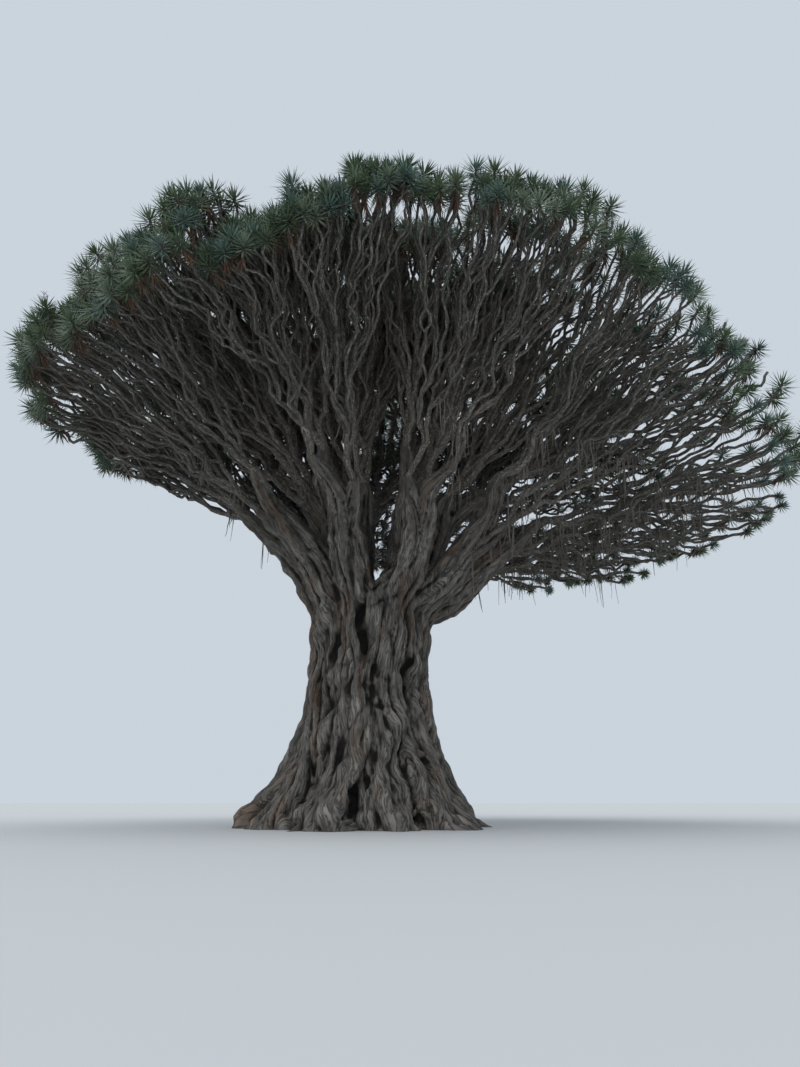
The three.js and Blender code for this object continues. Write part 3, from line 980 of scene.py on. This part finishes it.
def grainPlaces(points):  # where the grain falls, by the trunk's axis and by the nearest bough
    lines = [boughLine(bough, side)[0] for bough, side in product(boughs, (0, 1))]
    samples = np.concatenate(lines)
    frames = np.concatenate([np.stack(framesAlong(line), axis=1) for line in lines])
    lengths = np.concatenate([lengthAlong(line) for line in lines])
    shifts = np.concatenate([np.full(len(line), i // 2 * 1.7) for i, line in enumerate(lines)])
    tree = kdtree.KDTree(len(samples))
    for i, sample in enumerate(samples):
        tree.insert(sample, i)
    tree.balance()
    nearest = np.array([tree.find(p)[1] for p in points])
    along, side, other = np.einsum("nij,nj->in", frames[nearest], points - samples[nearest])
    aside = np.maximum(np.hypot(side, other), 0.01) / woodLook["grainRoundBough"]
    onBough = np.stack([side / aside + shifts[nearest], other / aside, lengths[nearest] + along], axis=1)
    fromAxis = points - axisAt(points[:, 2])
    sway = sum(size * softNoise(points / length, seed) for size, length, seed in woodLook["grainSways"])
    azimuth = np.arctan2(fromAxis[:, 1], fromAxis[:, 0]) + sway + woodLook["grainSpiral"] * points[:, 2]
    away = woodLook["grainRoundTrunk"]
    onTrunk = np.stack([away * np.cos(azimuth), away * np.sin(azimuth), points[:, 2]], axis=1)
    return onTrunk, onBough


def pitDepth(points):
    fromAxis = points - axisAt(points[:, 2])
    azimuth = np.arctan2(fromAxis[:, 1], fromAxis[:, 0])
    reach = np.hypot(fromAxis[:, 0], fromAxis[:, 1])
    depth = np.zeros(len(points))
    for turn in bothSides:
        for pitAzimuth, height, halfWidth, halfHeight, most in pits:
            away = (azimuth - radians(pitAzimuth + turn) + pi) % (2 * pi) - pi
            bend = 0.25 * np.sin((points[:, 2] - height) * 4 + pitAzimuth)
            across = (away * reach - bend * halfHeight * 0.5) / halfWidth
            up = (points[:, 2] - height) / halfHeight
            depth = np.maximum(depth, most * np.exp(-(across**2) - up**2) * (np.abs(away) < 1))
    return depth * woodLook["pitShare"]


def carve(mesh):  # relief on the skin, with what the bark's colours need to know of it: its grain places, and the depths of its hollows for painted shade
    points, normals, edges = readMesh(mesh)
    onTrunk, onBough = grainPlaces(points)
    low, high = woodLook["grainChange"]
    upper = smooth((points[:, 2] - low) / (high - low))

    def grain(width, length, seed):
        stretch = np.array([width, width, length])
        below = softNoise(onTrunk / stretch, seed)
        return below + (softNoise(onBough / stretch, seed) - below) * upper

    def cords(size, seed):  # round ridges with sharp grooves between them
        return np.sqrt(np.clip(np.abs(grain(size[0], size[1], seed)) / 0.5, 0, 1)) - 0.6

    coarse = woodLook["cordDepth"] * (1 - woodLook["cordLessOnBoughs"] * upper)
    relief = coarse * cords(woodLook["cordSize"], 1)
    relief = relief + woodLook["fibreDepth"] * cords(woodLook["fibreSize"], 2)
    lumps = points / woodLook["lumpSize"]
    lump = softNoise(lumps, 3) + 0.5 * softNoise(lumps * 2.2, 4)
    relief = relief + woodLook["lumpDepth"] * lump - pitDepth(points)
    aboveGround = smooth(points[:, 2] / woodLook["flatFoot"])
    moved = points + normals * (relief * aboveGround)[:, None]
    moved[:, 2] = np.maximum(moved[:, 2], 0)
    mesh.vertices.foreach_set("co", moved.ravel())
    # depths of the hollows, which the bark paints darker as painted shade
    for name, rounds, deepest in woodLook["hollows"]:
        depth = ((relaxed(moved, edges, rounds) - moved) * normals).sum(1)
        storeNumbers(mesh, name, np.clip(depth / deepest, -1, 1))
    storeVectors(mesh, "placeTrunk", onTrunk)
    storeVectors(mesh, "placeBough", onBough)
    mesh.update()


def keptPart(mesh, name, kind, keep):  # a copy with only the vertices or faces to keep
    solid = bmesh.new()
    solid.from_mesh(mesh)
    number = solid.verts.layers.int.new("number")
    for vertex in solid.verts:
        vertex[number] = vertex.index
    elements = {"VERTS": solid.verts, "FACES": solid.faces}[kind]
    gone = [element for element, stays in zip(elements, keep) if not stays]
    bmesh.ops.delete(solid, geom=gone, context=kind)
    numbers = [vertex[number] for vertex in solid.verts]
    solid.verts.layers.int.remove(number)
    part = bpy.data.meshes.new(name)
    solid.to_mesh(part)
    solid.free()
    part.shade_smooth()
    return part, numbers


def makeWoodMesh():
    ropes = meshFrom("ropes", makeWood())
    skin = modified(ropes, "REMESH", mode="VOXEL", voxel_size=woodLook["voxel"])
    cutAtGround(skin)
    points, _, edges = readMesh(skin)
    skin, _ = keptPart(skin, "wood", "VERTS", largestIsland(points, edges))
    carve(skin)
    print("wood skin:", len(skin.polygons), "faces")
    return modified(skin, "DECIMATE", ratio=woodLook["keptFaces"])


def splitWood(skin):  # the trunk's part and the boughs' part, which meet in one closed line
    centres = readNumbers(skin.polygons, "center", 3).astype(float)
    edge = woodLook["trunkTop"] + woodLook["trunkTopVariation"] * softNoise(centres / 0.45, 9)
    ofTrunk = centres[:, 2] < edge
    _, normals, _ = readMesh(skin)
    parts = []
    for name, keep, place in (("trunkBark", ofTrunk, "placeTrunk"), ("boughBark", ~ofTrunk, "placeBough")):
        part, numbers = keptPart(skin, name, "FACES", keep)
        part.attributes[place].name = "barkPlace"
        part.normals_split_custom_set_from_vertices(normals[numbers])  # the skin's own, also along the line
        parts.append(part)
    return parts


# Materials
def addNode(tree, kind, inputs=None, **settings):
    node = tree.nodes.new("ShaderNode" + kind)
    for name, value in settings.items():
        setattr(node, name, value)
    for name, value in (inputs or {}).items():
        if isinstance(value, bpy.types.NodeSocket):
            tree.links.new(value, node.inputs[name])
        else:
            node.inputs[name].default_value = value
    return node.outputs


def addMath(tree, operation, *values):
    return addNode(tree, "Math", dict(enumerate(values)), operation=operation)[0]


def addRange(tree, value, low, high, toLow=0.0, toHigh=1.0, **settings):
    inputs = {"Value": value, "From Min": low, "From Max": high, "To Min": toLow, "To Max": toHigh}
    return addNode(tree, "MapRange", inputs, **settings)[0]


def addVector(tree, operation, first, second):
    return addNode(tree, "VectorMath", {0: first, 1: second}, operation=operation)


def mixColors(tree, share, first, second, kind="MIX"):
    return addNode(tree, "Mix", {0: share, 6: first, 7: second}, data_type="RGBA", blend_type=kind)[2]


def newGroup(name, inputs, outputs):
    group = bpy.data.node_groups.new(name, "ShaderNodeTree")
    for label, kind, value in inputs:
        socket = group.interface.new_socket(name=label, in_out="INPUT", socket_type="NodeSocket" + kind)
        if value is not None:
            socket.default_value = value
    for label, kind in outputs:
        group.interface.new_socket(name=label, in_out="OUTPUT", socket_type="NodeSocket" + kind)
    start = group.nodes.new("NodeGroupInput").outputs
    end = group.nodes.new("NodeGroupOutput").inputs
    return group, start, end


def makeFibreGrain():  # long fibres and the cracks between them
    inputs = [
        ("Place", "Vector", None),
        ("Width", "Float", 0.05),
        ("Length", "Float", 0.5),
        ("Crack Share", "Float", 0.12),
    ]
    group, start, end = newGroup("fibreGrain", inputs, [("Height", "Float"), ("Crack", "Float")])
    width = start["Width"]
    size = addNode(group, "CombineXYZ", {"X": width, "Y": width, "Z": start["Length"]})[0]
    scaled = addVector(group, "DIVIDE", start["Place"], size)[0]
    look = {"Scale": 1.0, "Detail": 4.0, "Roughness": 0.62, "Distortion": 0.35}
    grain = addNode(group, "TexNoise", {"Vector": scaled, **look})["Fac"]
    ridge = addMath(group, "ABSOLUTE", addMath(group, "SUBTRACT", grain, 0.5))
    crack = addRange(group, ridge, 0.0, start["Crack Share"], 1.0, 0.0, interpolation_type="SMOOTHSTEP")
    lower = addMath(group, "MULTIPLY_ADD", crack, -0.6, grain)
    group.links.new(lower, end["Height"])
    group.links.new(crack, end["Crack"])
    return group


def makeWeatherPatches():  # soft-edged patches, such as stains and scars
    inputs = [
        ("Place", "Vector", None),
        ("Stretch", "Vector", (1.0, 1.0, 1.0)),
        ("Size", "Float", 1.0),
        ("Cover", "Float", 0.3),
        ("Softness", "Float", 0.1),
    ]
    group, start, end = newGroup("weatherPatches", inputs, [("Mask", "Float")])
    stretched = addVector(group, "DIVIDE", start["Place"], start["Stretch"])[0]
    scale = addMath(group, "DIVIDE", 1.0, start["Size"])
    look = {"Detail": 3.0, "Roughness": 0.6}
    cloud = addNode(group, "TexNoise", {"Vector": stretched, "Scale": scale, **look})["Fac"]
    edge = addMath(group, "SUBTRACT", 0.72, start["Cover"])
    far = addMath(group, "ADD", edge, start["Softness"])
    mask = addRange(group, cloud, edge, far, interpolation_type="SMOOTHSTEP")
    group.links.new(mask, end["Mask"])
    return group


def makeToneDrift():  # one colour drifting into another
    inputs = [
        ("Place", "Vector", None),
        ("Size", "Float", 1.0),
        ("First", "Color", (0.1, 0.1, 0.1, 1)),
        ("Second", "Color", (0.2, 0.2, 0.2, 1)),
    ]
    group, start, end = newGroup("toneDrift", inputs, [("Color", "Color")])
    scale = addMath(group, "DIVIDE", 1.0, start["Size"])
    cloud = addNode(group, "TexNoise", {"Vector": start["Place"], "Scale": scale, "Detail": 3.0})["Fac"]
    mixed = mixColors(group, addRange(group, cloud, 0.3, 0.7), start["First"], start["Second"])
    group.links.new(mixed, end["Color"])
    return group


fibreGrain = makeFibreGrain()
weatherPatches = makeWeatherPatches()
toneDrift = makeToneDrift()


def newMaterial(name, roughness, specular):
    material = bpy.data.materials.new(name)
    material.use_nodes = True
    tree = material.node_tree
    shader = tree.nodes["Principled BSDF"]
    shader.inputs["Roughness"].default_value = roughness
    shader.inputs["Specular IOR Level"].default_value = specular
    return material, tree, shader


def placeGroup(tree, group, place, inputs):
    return addNode(tree, "Group", {"Place": place, **inputs}, node_tree=group)


def readAttribute(tree, name, output="Fac"):
    return addNode(tree, "Attribute", attribute_name=name)[output]


def placeInSpace(tree):
    return addNode(tree, "TexCoord")["Object"]


def driftingTone(tree, place, size, first, second):
    return placeGroup(tree, toneDrift, place, {"Size": size, "First": first, "Second": second})["Color"]


def joinToShader(tree, shader, color, height, finish):
    tree.links.new(color, shader.inputs["Base Color"])
    inputs = {"Height": height, "Distance": finish["bump"], "Strength": finish["bumpStrength"]}
    tree.links.new(addNode(tree, "Bump", inputs)[0], shader.inputs["Normal"])


trunkFinish = {
    "pale": (0.235, 0.215, 0.192, 1),
    "grey": (0.125, 0.114, 0.101, 1),
    "rust": (0.17, 0.1, 0.062, 1),
    # near black, for the cracks and for the painted shade in recesses and hollows
    "dark": (0.018, 0.016, 0.0145, 1),
    "toneSize": 0.7,
    "roughness": 0.92,
    "specular": 0.25,
    "fibres": {"Width": 0.032, "Length": 0.5, "Crack Share": 0.05},
    "fibreTones": (0.25, 0.75, 0.72, 1.22),  # the range of what it follows, and what that gives
    # painted highlight and shade: the crests of the relief are painted paler and the grooves darker
    "paintedRidgeShades": (-0.6, 0.1, 1.3, 0.95),
    "streaks": {"Stretch": (0.3, 0.3, 2.2), "Size": 1.0, "Cover": 0.2, "Softness": 0.14},
    "rustShare": 0.55,
    # painted shade: the recesses and hollows of the relief are painted darker
    "paintedShadeInRecess": (0.05, 0.8, 0.0, 0.88),
    "paintedShadeInHollow": (0.1, 0.9, 0.0, 0.82),
    "darkInCrack": 0.4,
    "bump": 0.065,
    "bumpStrength": 0.8,
}
# What differs on the boughs
boughFinish = {"fibres": {"Width": 0.03, "Length": 0.4, "Crack Share": 0.05}, "bump": 0.06}


def makeTrunkBark(name, finish):
    material, tree, shader = newMaterial(name, finish["roughness"], finish["specular"])
    place = readAttribute(tree, "barkPlace", "Vector")
    recess = readAttribute(tree, "recess")
    hollow = readAttribute(tree, "hollow")
    grain = placeGroup(tree, fibreGrain, place, finish["fibres"])
    streaks = placeGroup(tree, weatherPatches, place, finish["streaks"])["Mask"]
    tone = driftingTone(tree, placeInSpace(tree), finish["toneSize"], finish["grey"], finish["pale"])
    fibreTone = addRange(tree, grain["Height"], *finish["fibreTones"])
    # painted highlight and shade: crests of the relief paler, grooves darker
    paintedRidgeShade = addRange(tree, recess, *finish["paintedRidgeShades"])
    shaded = mixColors(tree, 1.0, tone, addMath(tree, "MULTIPLY", fibreTone, paintedRidgeShade), "MULTIPLY")
    color = mixColors(tree, addMath(tree, "MULTIPLY", streaks, finish["rustShare"]), shaded, finish["rust"])
    # painted shade in the recesses and hollows of the relief, and the real dark of the cracks
    darker = [
        addRange(tree, recess, *finish["paintedShadeInRecess"]),
        addRange(tree, hollow, *finish["paintedShadeInHollow"]),
        addMath(tree, "MULTIPLY", grain["Crack"], finish["darkInCrack"]),
    ]
    for share in darker:
        color = mixColors(tree, share, color, finish["dark"])
    joinToShader(tree, shader, color, grain["Height"], finish)
    return material


limbFinish = {
    "pale": (0.34, 0.314, 0.279, 1),
    "grey": (0.162, 0.147, 0.128, 1),
    # painted light: the paler, warmer colour for the limbs inside the crown
    "inner": (0.43, 0.376, 0.31, 1),
    "dark": (0.04, 0.036, 0.032, 1),
    "toneSize": 0.8,
    "roughness": 0.88,
    "specular": 0.3,
    "fibres": {"Width": 0.035, "Length": 0.13, "Crack Share": 0.12},
    "scars": {"Stretch": (0.6, 0.6, 0.12), "Size": 0.16, "Cover": 0.2, "Softness": 0.1},
    "innerLightAxis": (0.8, 0.0, 0.0),  # painted light that lifts the shade inside the crown: the bark is painted warmer and paler round this upright axis
    "innerLightReach": (1.5, 6.0),
    "innerLightShare": 0.75,
    "darkInCrack": 0.85,
    "bump": 0.022,
    "bumpStrength": 0.9,
}


def makeLimbBark(finish):
    material, tree, shader = newMaterial("limbBark", finish["roughness"], finish["specular"])
    place = readAttribute(tree, "barkPlace", "Vector")
    inSpace = placeInSpace(tree)
    grain = placeGroup(tree, fibreGrain, place, finish["fibres"])
    scars = placeGroup(tree, weatherPatches, place, finish["scars"])["Mask"]
    tone = driftingTone(tree, inSpace, finish["toneSize"], finish["grey"], finish["pale"])
    color = mixColors(tree, scars, tone, finish["grey"])
    # painted light: limbs near the crown's axis, where the crown's shade falls, are painted paler and warmer
    flat = addVector(tree, "MULTIPLY", inSpace, (1.0, 1.0, 0.0))[0]
    fromAxis = addVector(tree, "DISTANCE", flat, finish["innerLightAxis"])["Value"]
    paintedInnerLight = addRange(tree, fromAxis, *finish["innerLightReach"], finish["innerLightShare"], 0.0)
    color = mixColors(tree, paintedInnerLight, color, finish["inner"])
    crack = addMath(tree, "MULTIPLY", grain["Crack"], finish["darkInCrack"])
    color = mixColors(tree, crack, color, finish["dark"])
    joinToShader(tree, shader, color, grain["Height"], finish)
    return material


def makePlain(name, look):
    material, tree, shader = newMaterial(name, look["roughness"], look["specular"])
    tone = driftingTone(tree, placeInSpace(tree), look["toneSize"], *look["tones"])
    tree.links.new(tone, shader.inputs["Base Color"])
    return material


# The pieces of wood
print("making the wood")
woodSkin = makeWoodMesh()
trunkMesh, boughMesh = splitWood(woodSkin)
trunkBark = makeTrunkBark("trunkBark", trunkFinish)
addPiece("trunkSkin", trunkMesh, trunkBark, ["trunk"])
boughBark = makeTrunkBark("boughBark", {**trunkFinish, **boughFinish})
addPiece("boughSkin", boughMesh, boughBark, boughNames)


def makeLimbPiles():
    piles = {"Left": newPile(), "Middle": newPile(), "Right": newPile()}
    for i, limb in enumerate(limbs):
        points = snake(limb["points"])
        radii = limb["radii"]
        length = lengthAlong(limb["points"])
        key = limb["key"] * 3 + i
        slow, fast = limbLook["knobWaves"]
        waves = np.sin(length * slow + 6 * chance(key, 71)) + np.sin(length * fast + 6 * chance(key, 72))
        radii = radii * (1 + limbLook["knobby"] * 0.5 * waves)
        forward = smooth((limbLook["thinnerFrom"] - points[:, 1]) / limbLook["thinnerOver"])
        radii = radii * (1 - limbLook["thinnerFront"] * forward)
        sides = next(count for least, count in limbLook["sides"] if radii.max() > least)
        x = points[-1][0]
        part = "Left" if x < limbLook["leftEdge"] else "Right" if x > limbLook["rightEdge"] else "Middle"
        addTube(piles[part], points, radii, sides, shift=np.array([i * 0.71, 0, 0]))
        limb["tip"]["centre"] = points[-1]
        limb["tip"]["axis"] = unit(points[-1] - points[-3])
    return piles


print("making the limbs")
limbBark = makeLimbBark(limbFinish)
for side, pile in makeLimbPiles().items():
    addPilePiece("limbs" + side, pile, limbBark)


# Rosettes of sword leaves
rosetteLook = {
    "leaves": 54,
    "length": (0.3, 0.44),
    "width": 0.046,
    "angles": (6, 122),  # from the rosette's axis
    "footFrom": 0,
    "foot": 0.13,  # the stretch of stem that the leaves stand on
    "widestAt": 0.34,
    "droop": 0.14,
    "fold": 0.32,  # of the width
    "jitter": 0.12,
    "leastSize": 0.86,
    "moreSize": 0.28,
    "lift": 0.35,  # how far the rosettes turn up
    "shares": {"deep": 0.5, "blue": 0.82, "pale": 1},  # of the colours, each with those before it
    "bareShare": 0.015,  # limbs that have lost their rosette
    "lowBelow": 8.9,  # the shaded tips under the right side are small
    "lowSize": 0.62,
    "rightFrom": 4.5,
    "rightBareShare": 0.1,
    "lowLeft": (-3.0, 9.8),  # left of this x and below this height most limbs end bare
    "lowLeftBareShare": 0.62,
    "toneSize": 0.7,
    "roughness": 0.5,
    "specular": 0.35,
}
leafTones = {
    "deep": ((0.1, 0.15, 0.088, 1), (0.155, 0.205, 0.12, 1)),
    "blue": ((0.112, 0.18, 0.148, 1), (0.162, 0.23, 0.19, 1)),
    "pale": ((0.17, 0.225, 0.155, 1), (0.225, 0.27, 0.19, 1)),
}
deadLook = {
    "shareLeft": 0.62,
    "shareRight": 0.3,
    "leaves": 18,
    "length": (0.24, 0.4),
    "width": 0.036,
    "angles": (122, 168),
    "footFrom": 0.06,
    "foot": 0.3,
    "widestAt": 0.34,
    "droop": 0.35,
    "fold": 0.2,
    "jitter": 0.2,
    "tones": ((0.14, 0.078, 0.043, 1), (0.09, 0.058, 0.039, 1)),
    "toneSize": 0.5,
    "roughness": 0.8,
    "specular": 0.3,
}
leafVariation = {"length": (0.86, 1.1), "sag": (0.3, 1.2), "width": (0.8, 1.15)}
goldenAngle = pi * (3 - sqrt(5))


def leafSpray(tips, look, seed):  # all the leaves of a list of rosettes, two faces a leaf
    dice = np.random.default_rng(seed)
    count = look["leaves"]
    size = (len(tips), count)
    centres = np.array([tip["centre"] for tip in tips])[:, None]
    axes = np.array([tip["axis"] for tip in tips])
    scale = np.array([tip["size"] for tip in tips])[:, None]
    near = np.array([squareTo(axis, np.array([0.3, 0.2, 1.0])) for axis in axes])
    other = np.cross(axes, near)
    t = (np.arange(count)[None] + dice.uniform(0, 1, size)) / count
    low, high = np.cos(np.radians(look["angles"]))
    tilt = np.arccos(low + (high - low) * t)
    turn = np.arange(count)[None] * goldenAngle + dice.uniform(0, 2 * pi, (len(tips), 1))
    turn = turn + dice.normal(0, look["jitter"], size)
    axes, near, other = axes[:, None], near[:, None], other[:, None]
    turn, tilt = turn[..., None], tilt[..., None]
    aside = np.cos(turn) * near + np.sin(turn) * other
    across = -np.sin(turn) * near + np.cos(turn) * other
    lead = np.cos(tilt) * axes + np.sin(tilt) * aside
    back = np.cross(across, lead)
    short, long = look["length"]
    length = short + (long - short) * np.sin(pi * np.clip(t * 0.85 + 0.1, 0, 1))
    length = (length * dice.uniform(*leafVariation["length"], size) * scale)[..., None]
    foot = centres - axes * (look["footFrom"] + look["foot"] * t[..., None]) * scale[..., None]
    sag = np.array([0, 0, -1.0]) * look["droop"] * np.sin(tilt) * length
    end = foot + lead * length + sag * dice.uniform(*leafVariation["sag"], size)[..., None]
    widest = foot + (end - foot) * look["widestAt"] + back * look["width"] * look["fold"]
    half = across * look["width"] / 2 * dice.uniform(*leafVariation["width"], size)[..., None]
    points = np.stack([foot, widest + half, end, widest - half], axis=2).reshape(-1, 3)
    starts = np.arange(size[0] * size[1])[:, None] * 4
    pile = newPile()
    addToPile(pile, points, [starts + np.array([0, 1, 2]), starts + np.array([0, 2, 3])])
    return pile


def bareShareAt(place):
    if place[0] > rosetteLook["rightFrom"]:
        return rosetteLook["rightBareShare"]
    x, height = rosetteLook["lowLeft"]
    return rosetteLook["lowLeftBareShare" if place[0] < x and place[2] < height else "bareShare"]


def dealTips():
    leafy = [limb for limb in limbs if chance(limb["key"], 85) > bareShareAt(limb["tip"]["centre"])]
    tips = [limb["tip"] for limb in leafy]
    for tip in tips:
        key = tip["key"]
        tip["size"] = rosetteLook["leastSize"] + rosetteLook["moreSize"] * chance(key, 81)
        if tip["centre"][2] < rosetteLook["lowBelow"] and tip["centre"][0] > crown["axisX"]:
            tip["size"] *= rosetteLook["lowSize"]
        lift = np.array([chance(key, 82) - 0.5, chance(key, 83) - 0.5, 0.5])
        tip["axis"] = unit(tip["axis"] + rosetteLook["lift"] * lift)
        draw = chance(key >> 1, 84)
        tip["colour"] = next(colour for colour, most in rosetteLook["shares"].items() if draw < most)
    return tips


print("making the rosettes")
tips = dealTips()
for index, (colour, tones) in enumerate(leafTones.items()):
    name = "leaves" + colour.capitalize()
    ofColour = [tip for tip in tips if tip["colour"] == colour]
    spray = leafSpray(ofColour, rosetteLook, 100 + index)
    addPilePiece(name, spray, makePlain(name, {**rosetteLook, "tones": tones}))


def hasDeadLeaves(tip):
    left = tip["centre"][0] < crown["axisX"]
    return chance(tip["key"], 91) < deadLook["shareLeft" if left else "shareRight"]


deadTips = [tip for tip in tips if hasDeadLeaves(tip)]
deadLeaf = makePlain("deadLeaf", deadLook)
addPilePiece("deadLeaves", leafSpray(deadTips, deadLook, 200), deadLeaf)


# Dry flower stalks
stalkLook = {
    "share": 0.11,
    "length": (0.25, 0.5),
    "lean": 0.5,
    "bend": 0.04,
    "radius": 0.009,
    "taper": (1.4, 1.0, 0.5),
    "branches": 8,
    "branchFoot": (0.3, 0.7),  # the least and what chance adds, as shares of the stalk
    "branchSpread": 0.9,
    "branchLength": (0.25, 0.35),
    "branchBend": 0.015,
    "branchDroop": 0.03,
    "branchTaper": (0.8, 0.6, 0.3),
    "tones": ((0.16, 0.12, 0.08, 1), (0.1, 0.075, 0.055, 1)),
    "toneSize": 0.3,
    "roughness": 0.85,
    "specular": 0.3,
}


def makeStalks():
    pile = newPile()
    for tip in tips:
        key = tip["key"]
        if chance(key, 101) > stalkLook["share"]:
            continue
        dice = np.random.default_rng(key)
        low, high = stalkLook["length"]
        length = low + (high - low) * dice.random()
        lean = unit(tip["axis"] + dice.normal(0, stalkLook["lean"], 3))
        base = tip["centre"]
        top = base + lean * length
        bend = (base + top) / 2 + dice.normal(0, stalkLook["bend"], 3)
        radii = np.array(stalkLook["taper"]) * stalkLook["radius"]
        branchRadii = np.array(stalkLook["branchTaper"]) * stalkLook["radius"]
        addTube(pile, np.array([base, bend, top]), radii, 3)
        for _ in range(stalkLook["branches"]):
            least, more = stalkLook["branchFoot"]
            root = base + (top - base) * (least + more * dice.random())
            way = unit(lean + dice.normal(0, stalkLook["branchSpread"], 3))
            least, more = stalkLook["branchLength"]
            end = root + way * length * (least + more * dice.random())
            end[2] -= stalkLook["branchDroop"]
            middle = (root + end) / 2 + dice.normal(0, stalkLook["branchBend"], 3)
            addTube(pile, np.array([root, middle, end]), branchRadii, 3)
    return pile


# Tassels of aerial roots under the low limbs
tasselLook = {
    "count": 190,
    "roots": (3, 8),
    "length": (0.25, 1.3),
    "radius": (0.011, 0.022),
    "ceiling": 9.9,
    "spread": 0.1,
    "sway": 0.08,
    "ripple": 0.012,
    "taper": 0.7,
    "boughFrom": 0.08,  # of its length
    "leastPoints": 24,  # of a limb that carries some
    "bareEnd": 8,
    "rightFrom": 2,  # most hang here, towards the camera
    "frontTo": 0.5,
    "backTo": 4,
    "weights": {"front": 6.0, "back": 1.6, "left": 0.7},
    "tones": ((0.2, 0.18, 0.155, 1), (0.13, 0.115, 0.1, 1)),
    "toneSize": 0.3,
    "roughness": 0.9,
    "specular": 0.3,
}


def makeTassels():
    pile = newPile()
    dice = np.random.default_rng(41)
    shares = np.linspace(tasselLook["boughFrom"], growth["boughShare"], 9)
    hosts = [pointsOn(bough["way"], shares) for bough in boughs if bough["ring"] is rings[0]]
    longEnough = [limb["points"] for limb in limbs if len(limb["points"]) > tasselLook["leastPoints"]]
    hosts += [points[: -tasselLook["bareEnd"]] for points in longEnough]
    places = np.concatenate([snake(host) for host in hosts])
    places = places[places[:, 2] < tasselLook["ceiling"]]
    right = (places[:, 0] > tasselLook["rightFrom"]) & (places[:, 1] < tasselLook["backTo"])
    weights = tasselLook["weights"]
    onRight = np.where(places[:, 1] < tasselLook["frontTo"], weights["front"], weights["back"])
    share = np.where(right, onRight, weights["left"])
    share = share * np.clip(tasselLook["ceiling"] - places[:, 2], 0.2, 2)
    chosen = dice.choice(len(places), tasselLook["count"], replace=False, p=share / share.sum())
    for place in places[chosen]:
        for _ in range(dice.integers(*tasselLook["roots"])):
            low, high = tasselLook["length"]
            length = low + (high - low) * dice.random() ** 2
            top = place + np.append(dice.normal(0, tasselLook["spread"], 2), 0.02)
            t = np.linspace(0, 1, 6)
            sway = np.outer(t**1.5, np.append(dice.normal(0, tasselLook["sway"], 2), 0))
            ripple = dice.normal(0, tasselLook["ripple"], (6, 3)) * t[:, None]
            line = top + np.outer(t, [0, 0, -length]) + sway + ripple
            thick = dice.uniform(*tasselLook["radius"])
            addTube(pile, line, thick * (1 - tasselLook["taper"] * t), 4)
    return pile


print("making stalks and aerial roots")
stalkStraw = makePlain("stalkStraw", stalkLook)
rootBark = makePlain("rootBark", tasselLook)
addPilePiece("dryStalks", makeStalks(), stalkStraw)
addPilePiece("aerialRoots", makeTassels(), rootBark)


# Floor, light and camera
stageLook = {
    "floorSize": 400,
    "floorColour": (0.62, 0.63, 0.63, 1),
    "floorRoughness": 0.9,
    "floorSpecular": 0.2,
    "skyColour": (0.74, 0.82, 0.9, 1),
    "skyStrength": 0.8,
    "sunStrength": 1.2,
    "sunAngle": 70,  # degrees, for soft shadows
    "sunTurn": (28, 0, -35),
}


def makeStage():
    bpy.ops.mesh.primitive_plane_add(size=stageLook["floorSize"])
    floor = bpy.context.object
    floor.name = "floor"
    roughness, specular = stageLook["floorRoughness"], stageLook["floorSpecular"]
    material, _, shader = newMaterial("floorPale", roughness, specular)
    shader.inputs["Base Color"].default_value = stageLook["floorColour"]
    floor.data.materials.append(material)
    world = bpy.data.worlds.new("paleSky")
    world.use_nodes = True
    background = world.node_tree.nodes["Background"]
    background.inputs["Color"].default_value = stageLook["skyColour"]
    background.inputs["Strength"].default_value = stageLook["skyStrength"]
    bpy.context.scene.world = world
    sun = bpy.data.lights.new("softSun", "SUN")
    sun.energy = stageLook["sunStrength"]
    sun.angle = radians(stageLook["sunAngle"])
    lamp = bpy.data.objects.new("softSun", sun)
    lamp.rotation_euler = [radians(turn) for turn in stageLook["sunTurn"]]
    bpy.context.scene.collection.objects.link(lamp)


# The photo is 800 by 1067 pixels, and its long side spans the sensor.
cameraLook = {
    "place": (0.99, -22.0, 0.66),
    "pitch": 18.46,
    "focalPixels": 800,
    "longSide": 1067,
    "sensor": 36,
}


def makeCamera():
    lens = bpy.data.cameras.new("photoView")
    lens.sensor_width = cameraLook["sensor"]
    lens.lens = cameraLook["sensor"] * cameraLook["focalPixels"] / cameraLook["longSide"]
    lens.clip_end = 1000
    camera = bpy.data.objects.new("photoView", lens)
    camera.location = cameraLook["place"]
    camera.rotation_euler = (radians(90 + cameraLook["pitch"]), 0, 0)
    bpy.context.scene.collection.objects.link(camera)
    bpy.context.scene.camera = camera


makeStage()
makeCamera()
bpy.context.scene.view_settings.view_transform = "Standard"
